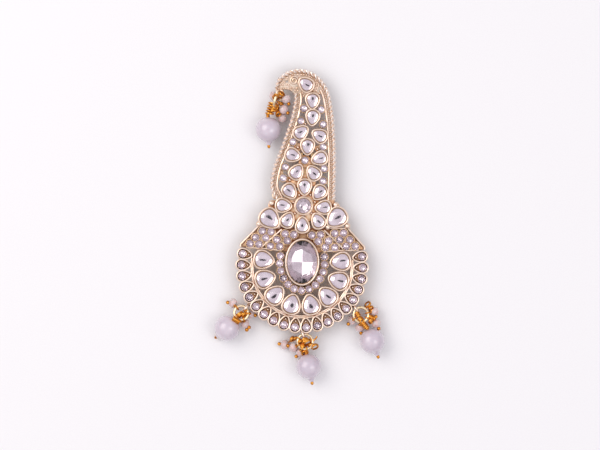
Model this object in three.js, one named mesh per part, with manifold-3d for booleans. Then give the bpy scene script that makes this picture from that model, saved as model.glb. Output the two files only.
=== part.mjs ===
// A turban brooch: a pierced gold casting set with crystals, with four pearl drops.
// Millimetres, +Z up. It lies on its back with the plume along +Y.
import * as THREE from 'three';
import { mergeVertices } from 'three/addons/utils/BufferGeometryUtils.js';
import { ConvexGeometry } from 'three/addons/geometries/ConvexGeometry.js';
import Module from 'manifold-3d';

const wasm = await Module();
wasm.setup();

// ---- Driving dimensions -------------------------------------------------------------

// Heights above the surface that the brooch lies on.
const backZ = 3.6;                 // flat back of the casting
const roughZ = backZ - 1.0;        // the back of the casting before it is planed flat
const seatZ = backZ + 1.0;         // floor of every stone pocket
const plateZ = backZ + 1.2;        // top of plain metal
const scallopZ = backZ + 1.9;      // rim of a scallop or a rhinestone cup
const bezelZ = backZ + 2.5;        // rim of a pear bezel
const ovalBezelZ = backZ + 3.5;    // rim of the oval's bezel

// Stones and their settings.
const fit = 0.15;                  // free space round and under a stone
const wall = 0.4;                  // bezel wall
const pearTaper = 0.3;             // how much slimmer a pear grows towards its narrow end
const ovalStone = { length: 13.6, width: 9.6, crown: 1.4 };
const roundStone = { diameter: 4.9, crown: 0.9 };
const pearSizes = {
  small: { length: 4.5, width: 3.6, crown: 1.0, sides: 8 },
  medallion: { length: 5.8, width: 4.9, crown: 1.2, sides: 10 },
  shoulder: { length: 6.3, width: 5.3, crown: 1.2, sides: 10 },
};
const rhinestone = { radius: 1.15, table: 0.6, cup: 1.5, rise: 0.7 };

// The medallion, about a centre a little below the oval.
const medallion = {
  x: 0, y: -1.5,
  pearRadius: 12, pearPairs: 4, pearStep: 28.3,
  bandRadius: 15.5, bandWidth: 1.0, bandEnd: 99, bandLift: 0.4,
  scallopRadius: 18.2, scallopPairs: 10, scallopStep: 10.65,
  scallopLength: 5.1, scallopWidth: 3.75, scallopStoneOut: 0.6,
};
const halo = { halfWidth: 6.95, halfHeight: 8.85, spacing: 2.37, pairs: 6 };

// The plume's border: a rope on a flat band.
const border = { width: 2.5, ropeIn: 0.7, ropeRadius: 0.68, ropeLift: 0.35, ropeSides: 4 };

// Findings.
const ringWire = 0.36;             // radius of a jump ring's wire
const pinWire = 0.18;              // radius of a head pin's wire
const loopRadius = 0.74;           // centre line of a wire loop round a jump ring
const beadRadius = 1.35;
const ballRadius = 0.6;
// A pearl's round body turns into its point at an angle from its top, in degrees.
const pearl = {
  radius: 3.9, pointFrom: 162, tip: 4.8, tipRadius: 0.72, bore: 0.45, pinBall: 0.5, wrap: 0.42,
};

// ---- Tables -------------------------------------------------------------------------

// Outline of the plume: up the left side to the crook of the hook.
const plumeLeft = [
  [-8.6, 18.7], [-10.3, 21.8], [-10.6, 25.0], [-9.6, 30.2], [-7.8, 35.0],
  [-6.2, 40.0], [-4.7, 45.0], [-3.9, 50.0], [-4.1, 52.2],
];
const hookUnderside = [[-5.0, 53.1], [-7.0, 53.3], [-9.2, 53.0]];
// From the hook's end over the crown and down the right side.
const plumeRight = [
  [-9.9, 53.8], [-9.2, 56.4], [-6.7, 58.7], [-3.2, 59.9], [0.5, 59.5], [3.8, 57.7], [6.3, 54.7],
  [7.7, 51.2], [8.8, 45.2], [9.4, 39.0], [9.8, 32.0], [9.9, 25.0], [9.9, 19.4],
];

// Pear stones of the plume and the flower, with the direction of the narrow end.
const plumePears = [
  { x: -0.2, y: 55.1, tip: 140 }, { x: 2.0, y: 49.9, tip: 270 },
  { x: 2.2, y: 44.8, tip: 264 }, { x: -1.3, y: 40.2, tip: 38 },
  { x: 4.4, y: 39.3, tip: 150 }, { x: 0.8, y: 35.7, tip: 270 },
  { x: -3.7, y: 33.1, tip: 345 }, { x: 4.6, y: 32.2, tip: 200 },
  { x: -2.4, y: 27.9, tip: 60 }, { x: 2.8, y: 27.7, tip: 128 },
];
const flowerPears = [
  { x: 0.2, y: 23.2, tip: 270 }, { x: -4.4, y: 21.8, tip: 310 },
  { x: -6.2, y: 17.4, tip: 356 }, { x: -4.8, y: 12.9, tip: 65 },
  { x: -0.2, y: 11.5, tip: 92 }, { x: 4.6, y: 12.9, tip: 120 },
  { x: 6.1, y: 17.1, tip: 186 }, { x: 4.8, y: 21.6, tip: 232 },
];
const flowerCentre = { x: 0, y: 17.4 };
const shoulderPears = [{ x: 10.3, y: 13.9, tip: 222 }, { x: -10.3, y: 13.1, tip: -42 }];

// Rhinestones of the plume.
const plumeRhinestones = [
  { x: -0.7, y: 47.6 }, { x: 4.7, y: 47.4 }, { x: -1.5, y: 43.7 }, { x: 5.5, y: 42.8 },
  { x: -3.8, y: 37.2 }, { x: 5.6, y: 35.8 }, { x: 0.1, y: 31.5 }, { x: -6.0, y: 29.3 },
  { x: -6.5, y: 25.9 }, { x: 6.1, y: 29.1 }, { x: 5.9, y: 25.3 },
];

// One wing, for x above 0: its plate and its rhinestones. The other is its mirror image.
const wingPlate = [
  [-0.2, 6.5], [-0.2, 10.6], [6.0, 10.5], [9.0, 11.0], [13.9, 10.9],
  [19.2, 5.3], [19.4, 4.3], [17.0, 3.9], [12.0, 3.6], [9.0, 3.4], [5.0, 3.0],
];
const wingRhinestones = [
  { x: 2.8, y: 8.4 }, { x: 5.5, y: 8.6 }, { x: 4.8, y: 6.5 },
  { x: 8.0, y: 6.7 }, { x: 7.1, y: 4.7 }, { x: 10.0, y: 4.7 },
  { x: 9.9, y: 9.1 }, { x: 12.6, y: 9.3 }, { x: 11.5, y: 7.2 },
  { x: 14.6, y: 7.2 }, { x: 13.5, y: 5.2 }, { x: 16.3, y: 5.3 },
];
const wingWires = [
  { fromX: 13.9, fromY: 10.7, toX: 19.1, toY: 5.0 },
  { fromX: 6.6, fromY: 10.0, toX: 12.3, toY: 4.9 },
];
const wingWireRadius = 0.45;
const wingWireLift = 0.2;

// Large round grains on the shoulders, for x above 0, mirrored as the wings are.
const shoulderGrains = [{ x: 9.9, y: 18.0 }, { x: 13.7, y: 11.5 }, { x: 7.7, y: 11.0 }];
const shoulderGrainRadius = 0.95;

// Plain metal that fills the space between some settings.
const webs = [
  { x: 0.0, y: 17.4, radius: 5.2 }, { x: 0.1, y: 31.2, radius: 2.1 },
  { x: -2.2, y: 35.6, radius: 1.4 }, { x: 3.9, y: 35.3, radius: 1.0 },
  { x: -4.6, y: 25.2, radius: 1.3 }, { x: 0.2, y: 26.0, radius: 1.5 },
  { x: -2.4, y: 24.2, radius: 1.5 }, { x: 2.4, y: 24.6, radius: 1.3 },
  { x: -8.0, y: 27.4, radius: 1.6 }, { x: -8.7, y: 20.4, radius: 1.2 },
  { x: 8.3, y: 20.0, radius: 1.6 }, { x: 9.6, y: 17.4, radius: 1.8 },
  { x: -9.4, y: 17.4, radius: 1.8 },
];
const webSides = 5;

// The four drops. A jump ring runs from the casting's eyelet to its far side, turned by roll about
// that line. Each pin hangs at an angle round the ring, counted from the eyelet. A bead's pin ends
// in a ball in the direction ballAt. A pearl's point lies in the direction pointAt, sunk by an angle.
const drops = [
  {
    name: 'drop_top', eyelet: [-8.2, 52.3, 4.4], far: [-9.6, 47.6, 4.4], roll: 72, foot: [-8.0, 54.0],
    pearl: { x: -11.5, y: 40.8, hangAt: 178, pointAt: 273, sunk: 0 },
    beads: [
      { x: -10.1, y: 51.3, z: 1.5, hangAt: 62, ballAt: 110 },
      { x: -6.2, y: 50.4, z: 4.6, hangAt: -52, ballAt: 300 },
      { x: -6.9, y: 47.2, z: 3.9, hangAt: -100, ballAt: 320 },
      { x: -7.3, y: 44.4, z: 2.2, hangAt: -150, ballAt: 150 },
    ],
  },
  {
    name: 'drop_left', eyelet: [-17.1, -14.6, 4.7], far: [-19.9, -17.8, 5.4], roll: 0,
    foot: [-15.8, -13.0],
    pearl: { x: -22.8, y: -21.1, hangAt: 180, pointAt: 221, sunk: 30 },
    beads: [
      { x: -21.1, y: -13.3, z: 3.3, hangAt: 84, ballAt: 175 },
      { x: -15.8, y: -16.5, z: 2.6, hangAt: -53, ballAt: 345 },
      { x: -17.3, y: -19.6, z: 3.3, hangAt: -118, ballAt: 320 },
    ],
  },
  {
    name: 'drop_bottom', eyelet: [0.8, -22.5, 4.6], far: [2.2, -26.9, 4.6], roll: 0, foot: [0.0, -20.4],
    pearl: { x: 2.8, y: -32.4, hangAt: 176, pointAt: 283, sunk: 0 },
    beads: [
      { x: -4.8, y: -25.9, z: 1.5, hangAt: 45, ballAt: 172 },
      { x: -2.1, y: -26.6, z: 3.0, hangAt: 100, ballAt: 165 },
      { x: 0.1, y: -28.2, z: 2.4, hangAt: 140, ballAt: 225 },
    ],
  },
  {
    name: 'drop_right', eyelet: [17.1, -14.2, 4.6], far: [20.1, -17.6, 4.8], roll: 0,
    foot: [15.8, -12.9],
    pearl: { x: 22.3, y: -24.0, hangAt: 164, pointAt: 292, sunk: 0 },
    beads: [
      { x: 16.0, y: -17.7, z: 2.4, hangAt: 82, ballAt: 225 },
      { x: 18.4, y: -20.0, z: 3.0, hangAt: 136, ballAt: 285 },
      { x: 22.7, y: -14.8, z: 3.2, hangAt: -114, ballAt: 290 },
      { x: 23.4, y: -18.6, z: 3.6, hangAt: -158, ballAt: 300 },
    ],
  },
];

// The pin finding on the back: a bar between a hinge block and a catch, over a straight pin.
const finding = {
  x: 0.6, bottom: -8, top: 34, barWidth: 3, barZ: 2.4, gap: 0.3,
  block: 4, footWidth: 5, pinRadius: 0.5, pinZ: 1.3,
};

// ---- Materials ----------------------------------------------------------------------

const metal = (color, roughness) => new THREE.MeshStandardMaterial({ color, roughness, metalness: 1 });
const champagneGold = metal(0xead2b0, 0.3);
const orangeGold = metal(0xdc9632, 0.25);
const crystal = new THREE.MeshStandardMaterial({ color: 0xdedaf0, roughness: 0.06, metalness: 0.3 });
const nacre = new THREE.MeshStandardMaterial({ color: 0xe1d7e4, roughness: 0.25, metalness: 0 });
const pinkGlass = new THREE.MeshStandardMaterial({ color: 0xe1c8ca, roughness: 0.2, metalness: 0 });

// ---- Solids -------------------------------------------------------------------------

const rad = THREE.MathUtils.degToRad;
const up = new THREE.Vector3(0, 0, 1);

// A closed three.js geometry as a solid that can be joined and cut.
function solid(geometry) {
  const bare = geometry.clone();
  bare.deleteAttribute('normal');
  bare.deleteAttribute('uv');
  const merged = mergeVertices(bare, 1e-4);
  return new wasm.Manifold(new wasm.Mesh({
    numProp: 3,
    vertProperties: new Float32Array(merged.attributes.position.array),
    triVerts: new Uint32Array(merged.index.array),
  }));
}

function join(solids) {
  return solids.reduce((sum, piece) => sum.add(piece));
}

function geometryOf(piece) {
  const { vertProperties, triVerts } = piece.getMesh();
  const geometry = new THREE.BufferGeometry();
  geometry.setAttribute('position', new THREE.BufferAttribute(vertProperties, 3));
  geometry.setIndex(new THREE.BufferAttribute(triVerts, 1));
  const flat = geometry.toNonIndexed();
  flat.computeVertexNormals();
  return flat;
}

const brooch = new THREE.Group();

function addMesh(name, geometry, material) {
  const mesh = new THREE.Mesh(geometry, material);
  mesh.name = name;
  brooch.add(mesh);
}

// An upright prism on a flat outline, between two heights.
function prism(outline, bottom, top) {
  const geometry = new THREE.ExtrudeGeometry(new THREE.Shape(outline), {
    depth: top - bottom, bevelEnabled: false, steps: 1,
  });
  geometry.translate(0, 0, bottom);
  return solid(geometry);
}

function block(width, length, x, y, bottom, top) {
  const geometry = new THREE.BoxGeometry(width, length, top - bottom);
  geometry.translate(x, y, (top + bottom) / 2);
  return solid(geometry);
}

function circle(x, y, radius, sides, start = 0.5) {
  return Array.from({ length: sides }, (_, i) => {
    const angle = (2 * Math.PI * (i + start)) / sides;
    return new THREE.Vector2(x + radius * Math.cos(angle), y + radius * Math.sin(angle));
  });
}

function ellipse(halfWidth, halfHeight, sides) {
  return circle(0, 0, 1, sides).map((p) => new THREE.Vector2(p.x * halfWidth, p.y * halfHeight));
}

// A pear with its narrow end in the direction tip (degrees).
function pear({ x, y, tip }, length, width, sides) {
  return Array.from({ length: sides }, (_, i) => {
    const angle = (2 * Math.PI * i) / sides;
    const along = (length / 2) * Math.cos(angle);
    const across = (width / 2) * Math.sin(angle) * (1 - pearTaper * Math.cos(angle));
    return new THREE.Vector2(along, across)
      .rotateAround(new THREE.Vector2(), rad(tip))
      .add(new THREE.Vector2(x, y));
  });
}

// A round stud turned about an upright axis, from a profile of [radius, height] pairs.
function stud({ x, y }, profile, sides) {
  const geometry = new THREE.LatheGeometry(profile.map(([r, z]) => new THREE.Vector2(r, z)), sides);
  geometry.rotateX(Math.PI / 2);
  geometry.translate(x, y, 0);
  return solid(geometry);
}

// A grain: a straight stem with a low round top, as high as a share of its radius.
const grainSides = 6;
const grainDome = 0.6;

function grain(place, radius, sides) {
  const shoulder = bezelZ - grainDome * radius;
  const profile = [[0, roughZ], [radius, roughZ], [radius, shoulder], [radius / 2, bezelZ], [0, bezelZ]];
  return stud(place, profile, sides);
}

function sphere(centre, radius, { sides, rings }) {
  const geometry = new THREE.SphereGeometry(radius, sides, rings);
  geometry.translate(centre.x, centre.y, centre.z);
  return solid(geometry);
}

// A round wire along a curve.
function wire(curve, radius, sides, steps) {
  const section = new THREE.Shape(circle(0, 0, radius, sides, 0));
  return solid(new THREE.ExtrudeGeometry(section, { extrudePath: curve, steps, bevelEnabled: false }));
}

function rod(from, to, radius, sides) {
  return wire(new THREE.LineCurve3(from, to), radius, sides, 1);
}

// A wire ring about a centre, with its axis along a direction.
function torus(centre, axis, radius, wireRadius, sides, wireSides) {
  const geometry = new THREE.TorusGeometry(radius, wireRadius, wireSides, sides);
  geometry.applyQuaternion(new THREE.Quaternion().setFromUnitVectors(up, axis));
  geometry.translate(centre.x, centre.y, centre.z);
  return solid(geometry);
}

function mirrored(items) {
  return items.flatMap((item) => [item, { ...item, x: -item.x }]);
}

// Places in pairs about straight down, on a circle round the medallion's centre.
function roundMedallion(radius, pairs, step) {
  return Array.from({ length: 2 * pairs }, (_, i) => {
    const fromDown = rad((i - pairs + 0.5) * step);
    return {
      x: medallion.x + radius * Math.sin(fromDown),
      y: medallion.y - radius * Math.cos(fromDown),
      tip: 90 + THREE.MathUtils.radToDeg(fromDown),
    };
  });
}

// ---- Stones -------------------------------------------------------------------------

// A faceted stone: a straight girdle, and crown facets that rise to a smaller outline.
function stone(girdle, crown, girdleTop, crownTop) {
  const at = (points, z) => points.map((p) => new THREE.Vector3(p.x, p.y, z));
  return new ConvexGeometry([
    ...at(girdle, seatZ + fit), ...at(girdle, girdleTop), ...at(crown, crownTop),
  ]);
}

// The ridge of a pear stone: its share of the stone's size, and how far it lies off the middle,
// towards the wide end.
const ridge = { length: 0.5, width: 0.3, sides: 4, off: 0.1 };
const girdleIn = 0.2;              // how far a girdle's top lies below its bezel's rim

function pearStone(place, size) {
  const off = ridge.off * size.length;
  const middle = {
    x: place.x - off * Math.cos(rad(place.tip)),
    y: place.y - off * Math.sin(rad(place.tip)),
    tip: place.tip,
  };
  const crown = pear(middle, size.length * ridge.length, size.width * ridge.width, ridge.sides);
  const girdleTop = bezelZ - girdleIn;
  return stone(pear(place, size.length, size.width, size.sides), crown, girdleTop, girdleTop + size.crown);
}

// The closed cup that a pear stone sits in, and the pocket cut into it.
function pearCup(place, size) {
  const grow = 2 * (fit + wall);
  return prism(pear(place, size.length + grow, size.width + grow, size.sides), roughZ, bezelZ);
}

function pearPocket(place, size) {
  return prism(pear(place, size.length + 2 * fit, size.width + 2 * fit, size.sides), seatZ, ovalBezelZ + 1);
}

const medallionPears = roundMedallion(medallion.pearRadius, medallion.pearPairs, medallion.pearStep);
const pearGroups = [
  { places: medallionPears, size: pearSizes.medallion, name: (i) => `medallion_pear_${i + 1}` },
  { places: shoulderPears, size: pearSizes.shoulder, name: (i) => `shoulder_pear_${['right', 'left'][i]}` },
  { places: flowerPears, size: pearSizes.small, name: (i) => `flower_pear_${i + 1}` },
  { places: plumePears, size: pearSizes.small, name: (i) => `plume_pear_${i + 1}` },
];
for (const { places, size, name } of pearGroups) {
  places.forEach((place, i) => addMesh(name(i), pearStone(place, size), crystal));
}

// The oval and the round crystal have a flat table, a share of the girdle's size.
const ovalSides = 16;
const ovalTable = 0.66;
const ovalGirdleTop = ovalBezelZ - 2 * girdleIn;

function ovalOutline(grow) {
  return ellipse(ovalStone.width / 2 + grow, ovalStone.length / 2 + grow, ovalSides);
}

addMesh('oval_stone', stone(
  ovalOutline(0),
  ellipse((ovalStone.width / 2) * ovalTable, (ovalStone.length / 2) * ovalTable, ovalSides / 2),
  ovalGirdleTop, ovalGirdleTop + ovalStone.crown,
), crystal);

const roundSides = 12;
const roundTable = 0.56;
const roundRadius = roundStone.diameter / 2;
const roundGirdleTop = bezelZ - girdleIn;

function roundOutline(grow) {
  return circle(flowerCentre.x, flowerCentre.y, roundRadius + grow, roundSides);
}

addMesh('round_stone', stone(
  roundOutline(0),
  circle(flowerCentre.x, flowerCentre.y, roundRadius * roundTable, roundSides / 2),
  roundGirdleTop, roundGirdleTop + roundStone.crown,
), crystal);

// ---- The casting --------------------------------------------------------------------

const to3 = ([x, y]) => new THREE.Vector3(x, y, 0);

// Evenly spaced points on a smooth curve through a table, moved to its right by an inset.
function sideLine(table, inset, count) {
  const curve = new THREE.CatmullRomCurve3(table.map(to3), false, 'centripetal');
  return Array.from({ length: count + 1 }, (_, i) => {
    const tangent = curve.getTangentAt(i / count);
    return curve.getPointAt(i / count).add(new THREE.Vector3(tangent.y, -tangent.x, 0).multiplyScalar(inset));
  });
}

const leftSteps = 10;
const rightSteps = 20;

function plumePlate() {
  const hook = sideLine(hookUnderside, 0, 3);
  const outer = [...sideLine(plumeLeft, 0, leftSteps), ...hook, ...sideLine(plumeRight, 0, rightSteps)];
  return prism(outer.map((p) => new THREE.Vector2(p.x, p.y)), roughZ, plateZ);
}

// The open field inside the border, from the flower up to the solid crown.
const field = { leftTop: 51.4, rightTop: 52.4, rightFrom: 3 };

function plumeField() {
  const left = sideLine(plumeLeft, border.width, leftSteps).filter((p) => p.y < field.leftTop);
  const right = sideLine(plumeRight, border.width, rightSteps)
    .filter((p) => p.x > field.rightFrom && p.y < field.rightTop);
  return prism([...left, ...right].map((p) => new THREE.Vector2(p.x, p.y)), roughZ - 1, plateZ + 1);
}

// The rope along one side of the plume.
function borderRope(table, steps) {
  const line = sideLine(table, border.ropeIn, steps).map((p) => p.setZ(plateZ + border.ropeLift));
  const path = new THREE.CatmullRomCurve3(line, false, 'centripetal');
  return wire(path, border.ropeRadius, border.ropeSides, steps);
}

// The curl in the hook: a wire ring round a grain.
const curl = { x: -3.9, y: 56.2, radius: 1.3, wire: 0.4, lift: 0.1, sides: 8, grain: 0.7 };

function hookCurl() {
  return [
    torus(new THREE.Vector3(curl.x, curl.y, plateZ + curl.lift), up, curl.radius, curl.wire, curl.sides, 4),
    grain(curl, curl.grain, grainSides),
  ];
}

const bandSteps = 10;

function medallionBand() {
  const half = medallion.bandWidth / 2;
  const arc = (radius, direction) => Array.from({ length: 2 * bandSteps + 1 }, (_, i) => {
    const angle = rad(medallion.bandEnd * (i / bandSteps - 1) * direction);
    return new THREE.Vector2(
      medallion.x + radius * Math.sin(angle), medallion.y - radius * Math.cos(angle),
    );
  });
  const outline = [...arc(medallion.bandRadius + half, 1), ...arc(medallion.bandRadius - half, -1)];
  return prism(outline, roughZ, plateZ + medallion.bandLift);
}

const scallopSides = 7;
const rhinestoneSides = 5;
const cupSides = 6;

function scallop(place) {
  const outline = pear(place, medallion.scallopLength, medallion.scallopWidth, scallopSides);
  return prism(outline, roughZ, scallopZ);
}

function scallopStone(place) {
  const inward = rad(place.tip);
  return rhinestoneAt({
    x: place.x - medallion.scallopStoneOut * Math.cos(inward),
    y: place.y - medallion.scallopStoneOut * Math.sin(inward),
  });
}

// A bare rhinestone: a cone on a short girdle, cut flat on top.
function rhinestoneAt(place) {
  const { radius, table, rise } = rhinestone;
  const tableZ = scallopZ + rise;
  return stud(place, [[0, seatZ], [radius, seatZ], [table, tableZ], [0, tableZ]], rhinestoneSides);
}

// A rhinestone in its own cup.
function cuppedRhinestone(place) {
  const { table, cup, rise } = rhinestone;
  const tableZ = scallopZ + rise;
  const profile = [[0, roughZ], [cup, roughZ], [cup, scallopZ], [table, tableZ], [0, tableZ]];
  return stud(place, profile, cupSides);
}

// Rhinestones at an even spacing on an ellipse round the oval, both ways from straight down.
function haloPlaces() {
  const line = new THREE.EllipseCurve(0, 0, halo.halfWidth, halo.halfHeight, -Math.PI / 2, 3 * Math.PI / 2);
  const turn = line.getLength();
  return Array.from({ length: 2 * halo.pairs + 1 }, (_, i) => {
    const along = (i - halo.pairs) * halo.spacing;
    return line.getPointAt(((along + turn) % turn) / turn);
  });
}

function wing(side) {
  const outline = wingPlate.map(([x, y]) => new THREE.Vector2(side * x, y));
  const wireHeight = plateZ + wingWireLift;
  const wires = wingWires.map(({ fromX, fromY, toX, toY }) => rod(
    new THREE.Vector3(side * fromX, fromY, wireHeight),
    new THREE.Vector3(side * toX, toY, wireHeight), wingWireRadius, 4,
  ));
  return [prism(outline, roughZ, plateZ), ...wires];
}

// The eyelet that a jump ring runs through, on a short bar from the casting's edge.
const eyeletRadius = 0.95;
const eyeletWire = 0.34;
const eyeletBar = 0.5;

// Sides round a wire loop, a jump ring, a thin wire and a ring's thicker wire.
const loopSides = 6;
const ringSides = 12;
const wireSides = 3;
const ringWireSides = 4;

function eyelet(drop, ring) {
  const { point, tangent } = ringPoint(ring, 0);
  const foot = new THREE.Vector3(drop.foot[0], drop.foot[1], plateZ - eyeletBar);
  const outward = foot.clone().sub(point).normalize();
  const start = point.clone().addScaledVector(outward, eyeletRadius);
  return [
    torus(point, tangent, eyeletRadius, eyeletWire, loopSides, wireSides),
    rod(start, foot, eyeletBar, wireSides),
  ];
}

// ---- Drops --------------------------------------------------------------------------

function ringOf(drop) {
  const near = new THREE.Vector3(...drop.eyelet);
  const far = new THREE.Vector3(...drop.far);
  const u = near.clone().sub(far).normalize();
  const level = new THREE.Vector3().crossVectors(up, u).normalize();
  const v = level.applyAxisAngle(u, rad(drop.roll));
  return {
    centre: near.clone().add(far).multiplyScalar(0.5),
    radius: near.distanceTo(far) / 2,
    u, v, axis: new THREE.Vector3().crossVectors(u, v),
  };
}

// The point at an angle round a ring, counted from its eyelet, and the wire's direction there.
function ringPoint(ring, degrees) {
  const angle = rad(degrees);
  const direction = (a, b) => ring.u.clone().multiplyScalar(a).addScaledVector(ring.v, b);
  return {
    point: ring.centre.clone().addScaledVector(direction(Math.cos(angle), Math.sin(angle)), ring.radius),
    tangent: direction(-Math.sin(angle), Math.cos(angle)),
  };
}

// The wire loop that hangs on a ring, and where its stem starts towards a target.
function hangingLoop(ring, hangAt, target) {
  const { point, tangent } = ringPoint(ring, hangAt);
  const towards = target.clone().sub(point).projectOnPlane(tangent).normalize();
  return {
    loop: torus(point, tangent, loopRadius, pinWire, loopSides, wireSides),
    start: point.clone().addScaledVector(towards, loopRadius),
  };
}

// A direction at an angle in plan, raised by another above the level.
function heading(degrees, raised) {
  const level = Math.cos(rad(raised));
  return new THREE.Vector3(
    level * Math.cos(rad(degrees)), level * Math.sin(rad(degrees)), Math.sin(rad(raised)),
  );
}

// Sides and rings of the small balls.
const beadFacets = { sides: 6, rings: 4 };
const ballFacets = { sides: 4, rings: 3 };
const wrapFacets = { sides: 4, rings: 2 };

// A bead on its pin, whose ball stands half out of the bead.
function beadOnPin(ring, bead) {
  const centre = new THREE.Vector3(bead.x, bead.y, bead.z);
  const { loop, start } = hangingLoop(ring, bead.hangAt, centre);
  const ball = centre.clone().addScaledVector(heading(bead.ballAt, 0), beadRadius + ballRadius / 2);
  return join([
    loop, rod(start, centre, pinWire, wireSides),
    sphere(centre, beadRadius, beadFacets), sphere(ball, ballRadius, ballFacets),
  ]);
}

// A pearl drilled along its axis, drawn out to a small point at the end away from its loop.
const pearlRings = 5;
const pearlSides = 10;

function pearlShape() {
  const { radius, pointFrom, tip, tipRadius, bore } = pearl;
  const start = Math.asin(bore / radius);
  const profile = Array.from({ length: pearlRings + 1 }, (_, i) => {
    const angle = start + (i / pearlRings) * (rad(pointFrom) - start);
    return new THREE.Vector2(radius * Math.sin(angle), radius * Math.cos(angle));
  });
  profile.push(new THREE.Vector2(tipRadius, -tip), new THREE.Vector2(bore, -tip), profile[0].clone());
  return new THREE.LatheGeometry(profile.reverse(), pearlSides).rotateX(Math.PI / 2);
}

function pearlDrop(drop, ring) {
  const { x, y, hangAt, pointAt, sunk } = drop.pearl;
  const centre = new THREE.Vector3(x, y, pearl.radius);
  const axis = heading(pointAt, -sunk).negate();
  const shape = pearlShape();
  shape.applyQuaternion(new THREE.Quaternion().setFromUnitVectors(up, axis));
  shape.translate(centre.x, centre.y, centre.z);
  // The pin leaves its loop, turns in a small wrap above the pearl, and ends in a ball at its point.
  const wrap = centre.clone().addScaledVector(axis, pearl.radius + pearl.wrap);
  const end = centre.clone().addScaledVector(axis, -(pearl.tip + pearl.pinBall));
  const { loop, start } = hangingLoop(ring, hangAt, wrap);
  const pin = join([
    loop, rod(start, wrap, pinWire, wireSides), sphere(wrap, pearl.wrap, wrapFacets),
    rod(wrap, end, pinWire, wireSides), sphere(end, pearl.pinBall, ballFacets),
  ]);
  return { shape, pin };
}

const eyelets = [];
for (const drop of drops) {
  const ring = ringOf(drop);
  eyelets.push(...eyelet(drop, ring));
  const ringSolid = torus(ring.centre, ring.axis, ring.radius, ringWire, ringSides, ringWireSides);
  addMesh(`${drop.name}_ring`, geometryOf(ringSolid), champagneGold);
  const { shape, pin } = pearlDrop(drop, ring);
  addMesh(`${drop.name}_pearl`, shape, nacre);
  addMesh(`${drop.name}_head_pin`, geometryOf(pin), orangeGold);
  drop.beads.forEach((bead, i) => {
    addMesh(`${drop.name}_bead_${i + 1}`, geometryOf(beadOnPin(ring, bead)), pinkGlass);
  });
}

// ---- The casting as one solid -------------------------------------------------------

const clearOfAll = 200;            // wider and longer than the whole brooch

function casting() {
  const scallops = roundMedallion(medallion.scallopRadius, medallion.scallopPairs, medallion.scallopStep);
  const haloStones = haloPlaces();
  const wingStones = mirrored(wingRhinestones);
  const pears = pearGroups.flatMap(({ places, size }) => places.map((place) => ({ place, size })));
  const cups = join([
    plumePlate().subtract(plumeField()),
    ...pears.map(({ place, size }) => pearCup(place, size)),
    prism(ovalOutline(fit + wall), roughZ, ovalBezelZ),
    prism(roundOutline(fit + wall), roughZ, bezelZ),
    medallionBand(),
    ...scallops.map(scallop),
    ...[...plumeRhinestones, ...haloStones].map(cuppedRhinestone),
    ...wing(1), ...wing(-1),
    ...webs.map(({ x, y, radius }) => prism(circle(x, y, radius, webSides), roughZ, plateZ)),
    borderRope(plumeLeft, leftSteps), borderRope(plumeRight, rightSteps),
    ...hookCurl(), ...eyelets,
  ]);
  const pockets = join([
    ...pears.map(({ place, size }) => pearPocket(place, size)),
    prism(ovalOutline(fit), seatZ, ovalBezelZ + 1),
    prism(roundOutline(fit), seatZ, ovalBezelZ + 1),
  ]);
  const smallStones = join([
    ...scallops.map(scallopStone),
    ...wingStones.map(rhinestoneAt),
    ...mirrored(shoulderGrains).map((place) => grain(place, shoulderGrainRadius, grainSides)),
  ]);
  const below = block(clearOfAll, clearOfAll, 0, 0, roughZ - 1, backZ);
  return cups.add(smallStones).subtract(pockets.add(below));
}

addMesh('frame', geometryOf(casting()), champagneGold);

// ---- The pin finding ----------------------------------------------------------------

function pinClasp() {
  const { x, bottom, top, barWidth, barZ, gap, block: blockLength, footWidth, pinRadius, pinZ } = finding;
  const length = top - bottom;
  const middle = (top + bottom) / 2;
  const topZ = backZ - gap;
  return join([
    block(barWidth, length, x, middle, barZ, topZ),
    block(footWidth, blockLength, x, top - blockLength / 2, 0, topZ),
    block(footWidth, blockLength, x, bottom + blockLength / 2, 0, topZ),
    rod(new THREE.Vector3(x, top - 1, pinZ), new THREE.Vector3(x, bottom + 1, pinZ), pinRadius, 8),
  ]);
}

addMesh('pin_clasp', geometryOf(pinClasp()), champagneGold);

// The origin is under the middle of the whole, on the surface that it lies on.
const box = new THREE.Box3().setFromObject(brooch);
brooch.position.set(-(box.min.x + box.max.x) / 2, -(box.min.y + box.max.y) / 2, -box.min.z);

export default brooch;
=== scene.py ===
# A turban brooch: a gold plated casting set with foiled stones, and four pearl drops on jump rings.
# The shapes are modelled in millimetres round the middle of the oval stone, with z up from the surface
# that the brooch lies on, and each finished piece is then brought to the frame's metres.
import bmesh
import bpy
import math
import random
from mathutils import Matrix, Vector


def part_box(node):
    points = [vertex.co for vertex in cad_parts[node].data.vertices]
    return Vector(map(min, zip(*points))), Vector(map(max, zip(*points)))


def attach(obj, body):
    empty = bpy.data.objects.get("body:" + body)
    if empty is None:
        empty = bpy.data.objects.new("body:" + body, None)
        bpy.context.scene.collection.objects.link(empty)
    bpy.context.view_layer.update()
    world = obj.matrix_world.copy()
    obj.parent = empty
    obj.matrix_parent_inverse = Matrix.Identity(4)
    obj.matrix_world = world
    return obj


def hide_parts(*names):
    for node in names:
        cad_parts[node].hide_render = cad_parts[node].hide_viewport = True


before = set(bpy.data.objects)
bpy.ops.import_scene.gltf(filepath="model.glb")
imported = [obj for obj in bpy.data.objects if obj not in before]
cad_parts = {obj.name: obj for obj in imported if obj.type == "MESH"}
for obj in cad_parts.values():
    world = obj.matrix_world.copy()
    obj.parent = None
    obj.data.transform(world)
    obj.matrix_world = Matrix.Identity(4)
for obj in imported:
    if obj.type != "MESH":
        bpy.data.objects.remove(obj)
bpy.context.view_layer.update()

mm = 0.001
ovalLow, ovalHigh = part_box("oval_stone")
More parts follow.
